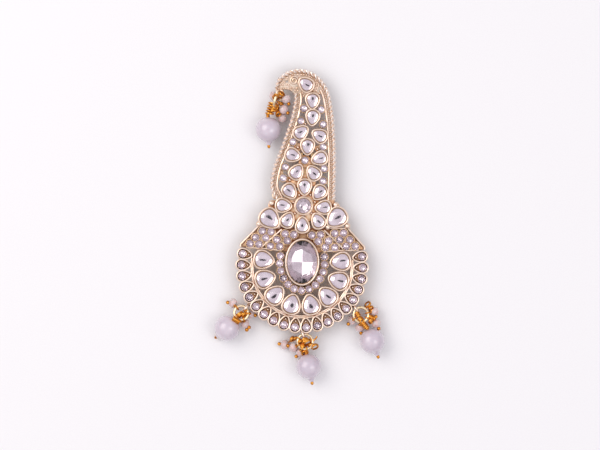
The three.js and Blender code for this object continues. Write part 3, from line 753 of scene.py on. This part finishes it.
def bezelCup(kind, length, width, top, sides=36, narrowing=pearTaper):
    # a straight wall, its rim pressed over the stone
    grown = 2 * (bezel["fit"] + bezel["wall"])
    outline = pearOutline(length + grown, width + grown, sides, narrowing)
    parts = [cup(outline, back, top - bezel[kind]["rim"][2], bezel["floor"], bezel["wall"])]
    for place, gold in (("rim", litRimGold), ("seat", shadedSeatGold)):
        radius, out, down = bezel[kind][place]
        edge = pearOutline(length + 2 * out, width + 2 * out, sides, narrowing)
        parts.append(wireLine(atZ([v.co for v in edge.data.vertices], top - down), radius, True, 3))
        parts[-1].data.materials.append(gold)
        discard(edge)
    parts[0].data.materials.append(litRimGold)
    return joined("bezel", parts)


cups = []
for kind, size in pearSizes.items():
    model = bezelCup("pear", size["length"], size["width"], heights["bezel"])
    for node, place in pearGroups[kind]:
        cups.append(copyTo(model, at(0, 0, hair * len(cups)) @ place))
    discard(model)
cups.append(bezelCup("oval", ovalStone["width"], ovalStone["length"], heights["ovalBezel"], sides=64,
                     narrowing=0))
cups.append(bezelCup("round", 2 * roundStone["radius"], 2 * roundStone["radius"], heights["bezel"], sides=40,
                     narrowing=0))
cups[-1].data.transform(at(*flowerCentre))
finishPiece("stoneBezels", cups, [litRimGold], smooth=50)
print("bezels raised")

# Rhinestone cups, each with four prongs pressed over the stone: plain ones, wide ones that run together
# on the wings, and low perches that stay out of sight in the scallops
rim = heights["scallop"]
cupShape = {"sides": 20, "bottom": back + 0.05, "floor": heights["plate"] + 0.15, "softened": 0.1,
            "prongTop": rim + 0.28}
stoneCups = {
    "plain": {"radius": 1.38, "wall": 0.24, "top": rim - 0.08, "prong": 0.2, "out": 1.2,
              "kinds": ("halo", "plume")},
    "wide": {"radius": 1.54, "wall": 0.36, "top": rim - 0.2, "prong": 0.18, "out": 1.2,
             "kinds": ("wing",)},
    "perch": {"radius": 0.95, "wall": 0.2, "top": rim - 0.24, "prong": 0.15, "out": 1.12,
              "kinds": ("scallop",)},
}


def grain(radius, top, sides=8):  # a stem with a round top
    dome = [(radius * math.sin(math.radians(a)), top - radius * (1 - math.cos(math.radians(a))))
            for a in range(0, 91, 18)]
    return turned(dome + [(radius, back + 0.1), (0, back + 0.1)], sides)


for shape in stoneCups.values():
    model = cup(roundOutline(shape["radius"], cupShape["sides"]), cupShape["bottom"], shape["top"],
                cupShape["floor"], shape["wall"], cupShape["softened"])
    prong = grain(shape["prong"], cupShape["prongTop"])
    prongs = [copyTo(prong, turn(45 + 90 * k) @ at(shape["out"], 0)) for k in range(4)]
    discard(prong)
    model = joined("rhinestoneCup", [model] + prongs)
    for kind in shape["kinds"]:
        copies = []
        for i, (x, y) in enumerate(smallStones[kind]):
            facing = scallops[i][2] if kind == "scallop" else dice.choice((0, 15, 45, 60))
            copies.append(copyTo(model, at(x, y, hair * i) @ turn(facing)))
        finishPiece(f"{kind}Cups", copies, [shadedRecessGold], smooth=50)
    discard(model)
print("rhinestone cups raised")

# Scallops round the medallion: a pear loop of wire over a sunk floor
loop = {
    "wire": 0.29, "sides": 32, "floorEdge": 0.05, "wallWire": 0.27, "wallDown": 1.0, "speck": 0.36,
    "speckOut": 1.25, "speckDown": 0.35,
}
floorModel = pearOutline(medallion["scallopLength"] - 2 * loop["wire"],
                         medallion["scallopWidth"] - 2 * loop["wire"], loop["sides"])
rimPoints = [v.co.copy() for v in floorModel.data.vertices]
slab(floorModel, back, heights["seat"], loop["floorEdge"])
rimModel = wireLine(atZ(rimPoints, heights["scallop"] - loop["wire"]), loop["wire"], True, 2)
wallModel = wireLine(atZ(rimPoints, heights["scallop"] - loop["wallDown"]), loop["wallWire"], True, 1)
speck = grain(loop["speck"], heights["scallop"] - loop["speckDown"])
speck.data.transform(at(loop["speckOut"], 0))
for part, gold in ((floorModel, shadedRecessGold), (rimModel, litRimGold), (wallModel, shadedRecessGold), (speck, litRimGold)):
    part.data.materials.append(gold)
model = joined("scallopLoop", [floorModel, rimModel, wallModel, speck])
copies = [copyTo(model, at(x, y, hair * i) @ turn(tip))
          for i, (x, y, tip) in enumerate(scallops)]
discard(model)
finishPiece("scallopBorder", copies, [litRimGold], smooth=50)
print("scallops set round the band")

# Wires: two set close along the medallion's band, the wings' edges and dividers, the plume's inner line
bandWire = {"radius": 0.34, "apart": 0.26, "z": heights["plate"] + 0.18}
wingWire = {
    "radius": 0.3, "z": heights["plate"] + 0.3,
    "lines": [[(6.9, 10.7), (13.9, 10.75), (19.2, 5.1), (19.2, 4.3)], [(6.6, 10.0), (12.5, 4.5)],
              [(17.4, 4.15), (12.0, 3.85), (8.6, 3.6), (6.6, 3.3)]],
}
innerWire = {"radius": 0.42, "z": heights["plate"] + 0.12, "inset": 2.3, "rightFrom": 3, "rightTop": 53.5}
innerLines = [smoothLine(plumeLeft, innerWire["inset"]),
              [p for p in smoothLine(plumeRight, innerWire["inset"])
               if p.x > innerWire["rightFrom"] and p.y < innerWire["rightTop"]]]
runs = [(arcLine(medallion["bandRadius"] + offset), bandWire)
        for offset in (-bandWire["apart"], bandWire["apart"])]
runs += [([(side * x, y) for x, y in line], wingWire) for side in (1, -1) for line in wingWire["lines"]]
runs += [(line, innerWire) for line in innerLines]
wires = [wireLine(atZ(line, wire["z"]), wire["radius"]) for line, wire in runs]
finishPiece("castingWires", wires, [litRimGold])
print("plain wires laid")

# The twisted rope on the plume's edge: two strands, screwed straight and then laid along the border
rope = {
    "inset": 0.7, "strand": 0.4, "off": 0.35, "lay": 2.95, "z": heights["plate"] + 0.3, "sides": 8,
    "steps": 12,
}


def ropeAlong(route, name):
    line = smoothLine(route, rope["inset"])
    length = sum((q - p).length for p, q in zip(line, line[1:]))
    turns = round(length / rope["lay"])
    strands = []
    for side in (1, -1):
        bpy.ops.object.select_all(action="DESELECT")
        bpy.ops.mesh.primitive_circle_add(vertices=rope["sides"], radius=rope["strand"],
                                          location=(side * rope["off"], 0, 0))
        strands.append(bpy.context.object)
    twist = joined(name, strands)
    bpy.ops.object.transform_apply(location=True, rotation=True, scale=True)
    modify(twist, "SCREW", axis="Z", angle=2 * math.pi, screw_offset=length / turns, iterations=turns,
           steps=rope["steps"], render_steps=rope["steps"])
    edit(twist)
    bpy.ops.mesh.fill_holes(sides=0)
    doneEditing(merge=True)
    path = addCurve("ropePath", [atZ(line, rope["z"])], dimensions="3D")
    modify(twist, "CURVE", object=path, deform_axis="POS_Z")
    discard(path)
    return twist


ropes = [ropeAlong(plumeLeft, "leftRope"), ropeAlong(plumeRight, "rightRope")]
finishPiece("borderRope", ropes, [ropeGold], smooth=50)
print("rope laid")

# Grains, the hook's curl and the relief of the crown
smallGrain = {
    "radius": 0.5, "top": heights["plate"] + 0.6, "sides": 10,
    "places": [(-2.2, 35.5), (3.9, 35.1), (-4.5, 25.3), (-3.2, 18.4), (3.5, 18.7), (-1.4, 20.7), (0.0, 42.8),
               (2.1, 20.9), (-2.6, 15.0), (2.5, 15.2), (0.3, 13.9)],
}
shoulderGrain = {
    "radius": 0.95, "top": heights["bezel"] - 0.1, "sides": 16,
    "places": [(side * x, y) for x, y in ((9.9, 18.0), (13.7, 11.5), (7.7, 11.0)) for side in (1, -1)],
}
parts = []
for kind in (smallGrain, shoulderGrain):
    parts += scatter(grain(kind["radius"], kind["top"], kind["sides"]), kind["places"])
curl = {
    "x": -3.9, "y": 56.2, "outer": 1.45, "inner": 0.45, "turns": 1.6, "start": -0.6, "steps": 60, "wire": 0.3,
    "z": heights["plate"] + 0.15,
}
spiral = []
for i in range(curl["steps"] + 1):
    share = i / curl["steps"]
    radius = curl["outer"] + (curl["inner"] - curl["outer"]) * share
    angle = 2 * math.pi * curl["turns"] * share + curl["start"]
    spiral.append((curl["x"] + radius * math.cos(angle), curl["y"] + radius * math.sin(angle), curl["z"]))
parts.append(wireLine(spiral, curl["wire"]))

# Granulation over the solid crown and down the border's groove, a beaded lower edge on the hook, and
# ridges beside the first pear. Granules keep clear of what else stands on the crown.
crown = {
    "from": 51.6, "left": -10, "rows": 24, "columns": 44, "rowShare": 0.87, "pear": Vector((-0.2, 55.1)),
    "ridges": (3.25, 3.85), "ridgeWire": 0.16, "ridgeTop": heights["plate"] + 0.02,
    "ridgeAngles": range(-35, 56, 10),
}
granule = {"radius": 0.36, "apart": 0.92, "top": heights["plate"] + 0.34, "jitter": 0.12}
groove = {"inset": 1.66, "radius": 0.27, "apart": 0.6, "top": heights["plate"] + 0.2}
beading = {"inset": 0.36, "radius": 0.34, "apart": 0.66, "top": heights["plate"] + 0.3}
clear = {"pear": 2.65, "curl": 1.8, "slot": 0.6, "rope": 0.85, "beading": 0.5, "wire": 0.55}
keepClear = [(crown["pear"], clear["pear"]), (Vector((curl["x"], curl["y"])), clear["curl"]),
             (Vector((slot["x"], slot["y"])), clear["slot"])]
keepClear += [(place, clear["rope"]) for edge in (plumeRight, plumeLeft)
              for place in smoothLine(edge, rope["inset"])]
keepClear += [(place, clear["beading"]) for place in smoothLine(hookUnderside, beading["inset"])]
keepClear += [(place, clear["wire"]) for line in innerLines for place in line]


def insideOf(outline, place):  # an odd number of the outline's sides lies to the right of a place inside it
    crossings = 0
    for p, q in zip(outline, outline[1:] + outline[:1]):
        if (p[1] > place.y) != (q[1] > place.y):
            crossings += place.x < p[0] + (place.y - p[1]) * (q[0] - p[0]) / (q[1] - p[1])
    return crossings % 2 == 1


granules = []
for row in range(crown["rows"]):
    for column in range(crown["columns"]):
        place = Vector((crown["left"] + granule["apart"] * (column + row % 2 / 2),
                        crown["from"] + granule["apart"] * crown["rowShare"] * row))
        place += Vector((dice.uniform(-1, 1), dice.uniform(-1, 1))) * granule["jitter"]
        if insideOf(outer, place) and not insideOf(opening, place) and \
                all((place - spot).length > gap for spot, gap in keepClear):
            granules.append(place)
inGroove = []
for edge in (plumeLeft, plumeRight):
    inGroove += [p for p in smoothLine(edge, groove["inset"], groove["apart"])[2:-2]
                 if p.y < crown["from"] or all((p - q).length > groove["apart"] for q in granules)]
parts += scatter(grain(granule["radius"], granule["top"]), granules)
finishPiece("grooveGrains", scatter(grain(groove["radius"], groove["top"]), inGroove), [ropeGold])
parts += scatter(grain(beading["radius"], beading["top"]),
                 smoothLine(hookUnderside, beading["inset"], beading["apart"]))
for reach in crown["ridges"]:
    ridge = [crown["pear"] + reach * heading(a).xy for a in crown["ridgeAngles"]]
    parts.append(wireLine(atZ(ridge, crown["ridgeTop"]), crown["ridgeWire"]))
finishPiece("castingGrains", parts, [litRimGold])
print("grains and curl set")

# The drops: a jump ring through an eyelet, beads and one pearl on head pins that hang on the ring

findings = {
    "ringWire": 0.4, "pinWire": 0.24, "wrapWire": 0.3, "loop": 0.8, "bead": 1.5, "beadLength": 2.64,
    "ball": 0.6, "ballOut": 0.65, "eyelet": 0.95, "eyeletWire": 0.42, "footBar": 0.5,
}
pearl = {
    "radius": 3.9, "pointFrom": 162, "tip": 4.8, "tipRadius": 0.62, "hollow": 0.1, "bore": 0.45, "ball": 0.5,
    "knee": 0.42,
}
neckWrap = {"radius": 0.42, "wire": 0.2, "turns": 3.1, "length": 1.1, "down": 0.5}
# Each ring goes from its eyelet to "far" and is rolled about that line. Places on the ring are in degrees
# from the eyelet, and directions in plan in degrees from +X.
# pearl: x, y, place on the ring, direction of its point, and how far the point dips
# beads: x, y, z, place on the ring, and direction of the ball on the pin's end
# wraps, the loose turns of wire: from, to, radius, turns
drops = {
    "top": {
        "eyelet": (-8.2, 52.3, 4.4), "far": (-9.6, 47.6, 4.4), "roll": 72, "foot": (-8.0, 54.0),
        "pearl": (-11.5, 40.8, 178, 273, 0),
        "beads": [(-10.1, 51.3, 1.5, 62, 40), (-6.2, 50.4, 4.6, -52, 300), (-6.9, 47.2, 3.9, -100, 320),
                  (-7.3, 44.4, 2.2, -150, 150)],
        "wraps": [((-10.3, 49.2, 4.6), (-11.3, 45.5, 4.4), 1.12, 4.6),
                  ((-9.7, 48.2, 4.3), (-10.3, 46.3, 4.9), 0.8, 2.6),
                  ((-7.7, 51.9, 5.6), (-7.5, 52.1, 5.8), 0.75, 1.6),
                  ((-8.6, 46.0, 3.6), (-8.3, 45.7, 3.9), 0.8, 2.2),
                  ((-9.5, 50.9, 3.1), (-9.5, 50.9, 3.6), 0.8, 1.8)],
    },
    "left": {
        "eyelet": (-17.1, -14.6, 4.7), "far": (-19.9, -17.8, 5.4), "roll": 0, "foot": (-15.8, -13.0),
        "pearl": (-22.8, -21.1, 180, 221, 30),
        "beads": [(-21.1, -13.3, 3.3, 84, 175), (-15.8, -16.5, 2.6, -53, 345),
                  (-17.3, -19.6, 3.3, -118, 320)],
        "wraps": [((-21.0, -17.9, 6.4), (-18.9, -19.2, 5.7), 0.62, 5.2),
                  ((-19.1, -16.5, 4.6), (-18.6, -17.2, 4.8), 1.0, 2.6),
                  ((-17.8, -16.6, 4.7), (-17.4, -17.1, 4.9), 0.85, 2.2),
                  ((-19.8, -17.2, 4.4), (-19.4, -17.8, 4.9), 0.7, 2.2),
                  ((-17.0, -15.6, 4.4), (-16.8, -15.9, 4.7), 0.62, 1.8)],
        "balls": [(-16.7, -21.5, 3.1)],
    },
    "bottom": {
        "eyelet": (0.8, -22.5, 4.6), "far": (2.2, -26.9, 4.6), "roll": 0, "foot": (0.0, -20.4),
        "pearl": (2.8, -32.4, 176, 283, 0),
        "beads": [(-4.8, -25.9, 1.5, 45, 172), (-2.1, -26.6, 3.0, 100, 165), (0.1, -28.2, 2.4, 140, 225)],
        "wraps": [((1.2, -24.0, 4.6), (1.6, -24.8, 4.9), 1.0, 2.6),
                  ((-2.6, -23.9, 3.4), (-2.3, -24.1, 3.6), 0.75, 2.0),
                  ((0.6, -25.9, 4.3), (1.0, -26.5, 4.5), 0.8, 2.4),
                  ((4.5, -26.1, 4.2), (4.6, -26.3, 4.4), 1.0, 1.4),
                  ((1.5, -28.0, 4.0), (1.6, -28.3, 4.3), 0.95, 1.6),
                  ((2.1, -24.6, 4.7), (2.4, -25.2, 5.1), 1.2, 1.8),
                  ((-0.1, -24.6, 4.3), (0.2, -25.0, 4.6), 0.75, 1.8),
                  ((3.2, -25.6, 4.4), (3.5, -25.9, 4.7), 0.7, 1.8)],
        "tails": [[(3.7, -24.9, 4.6), (4.3, -24.1, 4.7), (5.0, -23.4, 4.9), (5.1, -22.9, 4.9)]],
    },
    "right": {
        "eyelet": (17.1, -14.2, 4.6), "far": (20.1, -17.6, 4.8), "roll": 0, "foot": (15.8, -12.9),
        "pearl": (22.3, -24.0, 164, 292, 0),
        "beads": [(16.0, -17.7, 2.4, 82, 225), (18.4, -20.0, 3.0, 136, 285), (22.7, -14.8, 3.2, -114, 290),
                  (23.4, -18.6, 3.6, -158, 300)],
        "wraps": [((20.7, -12.8, 3.9), (20.5, -12.6, 4.1), 0.95, 1.6),
                  ((21.2, -16.4, 4.6), (23.2, -17.1, 4.3), 0.5, 4.0),
                  ((17.2, -15.2, 4.4), (18.0, -16.6, 4.5), 0.6, 2.8),
                  ((19.1, -18.2, 4.6), (20.7, -20.1, 5.0), 0.66, 4.4),
                  ((18.1, -17.1, 4.4), (18.9, -17.7, 4.7), 0.75, 2.6),
                  ((21.6, -13.7, 4.4), (21.8, -14.0, 4.7), 0.65, 1.8),
                  ((21.6, -17.6, 4.6), (22.0, -18.1, 4.8), 0.7, 1.8)],
    },
}


def ringFrame(drop):
    near, far = Vector(drop["eyelet"]), Vector(drop["far"])
    u = (near - far).normalized()
    level = Vector((0, 0, 1)).cross(u).normalized()
    v = Matrix.Rotation(math.radians(drop["roll"]), 3, u) @ level
    return {"centre": (near + far) / 2, "radius": (near - far).length / 2, "u": u, "v": v,
            "axis": u.cross(v)}


def ringPoint(ring, degrees):  # a point round the ring, counted from its eyelet, and the wire's direction
    a = math.radians(degrees)
    return (ring["centre"] + ring["radius"] * (math.cos(a) * ring["u"] + math.sin(a) * ring["v"]),
            math.cos(a) * ring["v"] - math.sin(a) * ring["u"])


def hangOn(ring, degrees, target):  # a loop's place and direction on the ring, and where its pin starts
    point, way = ringPoint(ring, degrees)
    towards = (target - point) - (target - point).dot(way) * way
    return point, way, point + towards.normalized() * findings["loop"]


def along(direction, place):  # +Z turned to a direction, then moved to a place
    return at(*place) @ Vector(direction).to_track_quat("Z", "Y").to_matrix().to_4x4()


def openRing(radius, wire, slit, steps, sides):  # round +Z, cut through on its -Y side
    bpy.ops.object.select_all(action="DESELECT")
    bpy.ops.mesh.primitive_circle_add(vertices=sides, radius=wire, fill_type="NGON", location=(0, 0, 0))
    ring = bpy.context.object
    edit(ring)
    bpy.ops.transform.rotate(value=math.pi / 2, orient_axis="Y", center_override=(0, 0, 0))
    bpy.ops.transform.translate(value=(0, -radius, 0))
    bpy.ops.mesh.spin(steps=steps, angle=math.radians(360 - slit), center=(0, 0, 0), axis=(0, 0, 1))
    doneEditing(merge=True)
    return ring


def arch(radius, height, angles):  # part of a round profile, from its top down
    return [(radius * math.sin(a), height * math.cos(a)) for a in angles]


def pearlShape():  # a drilled ball, drawn out to a short cone at its lower end
    start, neck = math.asin(pearl["bore"] / pearl["radius"]), math.radians(pearl["pointFrom"])
    profile = arch(pearl["radius"], pearl["radius"], [start + (neck - start) * i / 24 for i in range(25)])
    across, down = profile[-1]
    for share in (0.3, 0.65):  # a hollow curve from the ball into the cone
        profile.append((across + (pearl["tipRadius"] - across) * share - pearl["hollow"],
                        down + (-pearl["tip"] - down) * share))
    profile += [(pearl["tipRadius"], -pearl["tip"]), (pearl["bore"], -pearl["tip"]), profile[0]]
    return turned(profile, 40)


def beadShape():  # a small round bead, a little flat at its drilled ends
    bore, side = findings["pinWire"], [math.radians(a) for a in range(12, 169, 12)]
    profile = arch(findings["bead"], findings["beadLength"] / 2, side)
    profile = [(bore, profile[0][1])] + profile + [(bore, profile[-1][1])]
    return turned(profile + [profile[0]], 24)


def coil(radius, wire, turns, length):  # a wrap of wire up +Z
    perTurn = 16
    count = round(perTurn * turns)
    angles = [2 * math.pi * i / perTurn for i in range(count + 1)]
    return wireLine([(radius * math.cos(a), radius * math.sin(a), length * i / count)
                     for i, a in enumerate(angles)], wire, roundness=1)


ballSide = [math.radians(a) for a in range(0, 181, 18)]
ballModel = turned(arch(findings["ball"], findings["ball"], ballSide), 16)
tipModel = turned([(0, -0.55), (0.3, -0.46), (0.46, -0.2), (0.52, 0.15), (0.5, 0.44), (0, 0.44)], 16)
beadModel, pearlModel = beadShape(), pearlShape()
loopModel = openRing(findings["loop"], findings["pinWire"], 20, 24, 8)
eyeletModel = openRing(findings["eyelet"], findings["eyeletWire"], 2, 28, 8)
wrapModel = coil(neckWrap["radius"], neckWrap["wire"], neckWrap["turns"], neckWrap["length"])
eyeletParts = []
for name, drop in drops.items():
    ring = ringFrame(drop)
    point, way = ringPoint(ring, 0)
    foot = Vector((*drop["foot"], heights["plate"] - findings["footBar"]))
    outward = (foot - point).normalized()
    eyeletParts.append(copyTo(eyeletModel, along(way, point)))
    eyeletParts.append(wireLine([point + outward * findings["eyelet"], foot], findings["footBar"]))

    jumpRing = openRing(ring["radius"], findings["ringWire"], 3, 48, 12)
    jumpRing.data.transform(along(ring["axis"], ring["centre"]))
    finishPiece(f"{name}JumpRing", [jumpRing], [ringWire], [f"drop_{name}_ring"])

    x, y, hangAt, pointAt, sunk = drop["pearl"]
    centre = Vector((x, y, pearl["radius"]))
    axis = -heading(pointAt, -sunk)
    whole = copyTo(pearlModel, along(axis, centre))
    finishPiece(f"{name}Pearl", [whole], [nacre], [f"drop_{name}_pearl"], smooth=70)
    knee = centre + axis * (pearl["radius"] + pearl["knee"])
    end = centre - axis * (pearl["tip"] + pearl["ball"])
    point, way, start = hangOn(ring, hangAt, knee)
    headPin = [copyTo(loopModel, along(way, point)),
               copyTo(wrapModel, along(axis, knee - axis * neckWrap["down"])),
               copyTo(tipModel, along(axis, end)),
               wireLine([start, knee, end], findings["pinWire"])]
    finishPiece(f"{name}HeadPin", headPin, [orangeWire], [f"drop_{name}_head_pin"])

    beads, wires = [], []
    for x, y, z, hangAt, ballAt in drop["beads"]:
        centre, toBall = Vector((x, y, z)), heading(ballAt)
        point, way, start = hangOn(ring, hangAt, centre)
        ballFrom = findings["beadLength"] / 2 + findings["ballOut"] * findings["ball"]
        beads.append(copyTo(beadModel, along(toBall, centre)))
        wires += [copyTo(loopModel, along(way, point)),
                  wireLine([start, start.lerp(centre, 0.5), centre], findings["pinWire"]),
                  copyTo(wrapModel, along(centre - start, start)),
                  copyTo(ballModel, at(*(centre + toBall * ballFrom)))]
    for fromPoint, toPoint, radius, turns in drop["wraps"]:
        way = Vector(toPoint) - Vector(fromPoint)
        wires.append(coil(radius, findings["wrapWire"], turns, way.length))
        wires[-1].data.transform(along(way, fromPoint))
    wires += [copyTo(ballModel, at(*ball)) for ball in drop.get("balls", ())]
    wires += [wireLine(tail, findings["pinWire"]) for tail in drop.get("tails", ())]
    nodes = [f"drop_{name}_bead_{i + 1}" for i in range(len(beads))]
    finishPiece(f"{name}Beads", beads, [pinkGlass], nodes, smooth=70)
    finishPiece(f"{name}BeadPins", wires, [orangeWire])
discard(ballModel, beadModel, pearlModel, loopModel, wrapModel, tipModel, eyeletModel)
finishPiece("dropEyelets", eyeletParts, [litRimGold])
print("drops hung")

# The pin finding on the back: a bar between two feet, and a straight pin from one to the other
finding = {"edge": 0.25, "barWidth": 3.0, "barDepth": 0.9, "foot": 4.0, "pin": 0.5, "pinZ": 1.3, "pinIn": 1}
low, high = placeOf("pin_clasp")
middle = (low + high) / 2


def barBlock(width, length, y, bottom, top):
    bpy.ops.object.select_all(action="DESELECT")
    bpy.ops.mesh.primitive_cube_add(size=1, location=(middle.x, y, (bottom + top) / 2),
                                    scale=(width, length, top - bottom))
    bar = bpy.context.object
    bpy.ops.object.transform_apply(location=True, rotation=True, scale=True)
    modify(bar, "BEVEL", width=finding["edge"], segments=3)
    return bar


parts = [barBlock(finding["barWidth"], high.y - low.y, middle.y, high.z - finding["barDepth"], high.z)]
for y in (low.y + finding["foot"] / 2, high.y - finding["foot"] / 2):
    parts.append(barBlock(high.x - low.x, finding["foot"], y, low.z, high.z))
parts.append(wireLine([(middle.x, high.y - finding["pinIn"], finding["pinZ"]),
                       (middle.x, low.y + finding["pinIn"], finding["pinZ"])], finding["pin"]))
finishPiece("pinClasp", parts, [pinMetal], ["pin_clasp"], smooth=50)
print("pin finding made")

# Floor, light and camera
floorSize = 12.0
bpy.ops.object.select_all(action="DESELECT")
bpy.ops.mesh.primitive_plane_add(size=floorSize)
floor = bpy.context.object
floor.name = "studioFloor"
paper, tree, shader, place = newMaterial("mattePaperFloor", {"Roughness": 0.9, "Specular IOR Level": 0.2})
tree.links.new(addMottle(tree, shader, place, 0.4, ("#EBE9EB", "#EDECED")), shader.inputs["Base Color"])
floor.data.materials.append(paper)


def softbox(name, azimuth, raised, distance, size, radiance, colour):
    light = bpy.data.lights.new(name, "AREA")
    light.shape = "RECTANGLE"
    light.size, light.size_y = size
    light.color = toLinear(colour)[:3]
    light.energy = radiance * math.pi * size[0] * size[1]
    lamp = newObject(name, light)
    way = heading(azimuth, raised)
    lamp.location = way * distance
    lamp.rotation_euler = way.to_track_quat("Z", "Y").to_euler()


softbox("keySoftbox", 154, 48, 0.7, (0.56, 0.5), 2.2, "#FFFBF6")
softbox("sideSoftbox", -14, 57, 0.7, (0.3, 0.36), 2.0, "#FFFFFF")

world = bpy.data.worlds.new("lightTent")
bpy.context.scene.world = world
world.use_nodes = True
sky = world.node_tree
background = sky.nodes["Background"]
way = addNode(sky, "ShaderNodeTexCoord").outputs["Generated"]
up = addNode(sky, "ShaderNodeSeparateXYZ", None, {"Vector": way}).outputs["Z"]
tent = addNode(sky, "ShaderNodeValToRGB", None, {"Fac": up})
tent.color_ramp.elements[0].position, tent.color_ramp.elements[0].color = 0.0, toLinear("#7D7478")
tent.color_ramp.elements[1].position, tent.color_ramp.elements[1].color = 0.85, toLinear("#FBFAFF")
tent.color_ramp.elements.new(0.35).color = toLinear("#CBC6CA")
# a dark lens and its arm near straight up, seen as a dash in every foiled stone
arm = addNode(sky, "ShaderNodeMapping", None, {
    "Vector": way, "Location": (0.125, 0.12, 0), "Rotation": (0, 0, math.radians(35)),
    "Scale": (7.5, 14.0, 0)})
reach = addNode(sky, "ShaderNodeVectorMath", {"operation": "LENGTH"}, {0: arm.outputs["Vector"]})
lens = addNode(sky, "ShaderNodeMapRange", {"interpolation_type": "SMOOTHSTEP"}, {
    "Value": reach.outputs["Value"], "From Min": 0.85, "From Max": 1.15})
dimmed = addNode(sky, "ShaderNodeMixRGB", None, {
    "Fac": lens.outputs["Result"], "Color1": toLinear("#141020"), "Color2": tent.outputs["Color"]})
seen = addNode(sky, "ShaderNodeLightPath").outputs["Is Camera Ray"]
backdrop = addNode(sky, "ShaderNodeMixRGB", None, {
    "Fac": seen, "Color1": dimmed.outputs["Color"], "Color2": toLinear("#DDDBE0")})
sky.links.new(backdrop.outputs["Color"], background.inputs["Color"])
background.inputs["Strength"].default_value = 1.0

shot = {"width": 0.186, "lens": 200, "sensor": 36, "roll": 1.4, "aim": (-0.96, 11.45, 5)}
camera = newObject("camera", bpy.data.cameras.new("camera"))
camera.data.lens, camera.data.sensor_width = shot["lens"], shot["sensor"]
camera.data.clip_start, camera.data.clip_end = 0.05, 50
away = shot["width"] * shot["lens"] / shot["sensor"]
camera.location = toFrame @ Vector(shot["aim"]) + Vector((0, 0, away))
camera.rotation_euler = (0, 0, math.radians(shot["roll"]))
bpy.context.scene.camera = camera
bpy.context.scene.view_settings.view_transform = "Standard"
print("floor, light and camera placed")
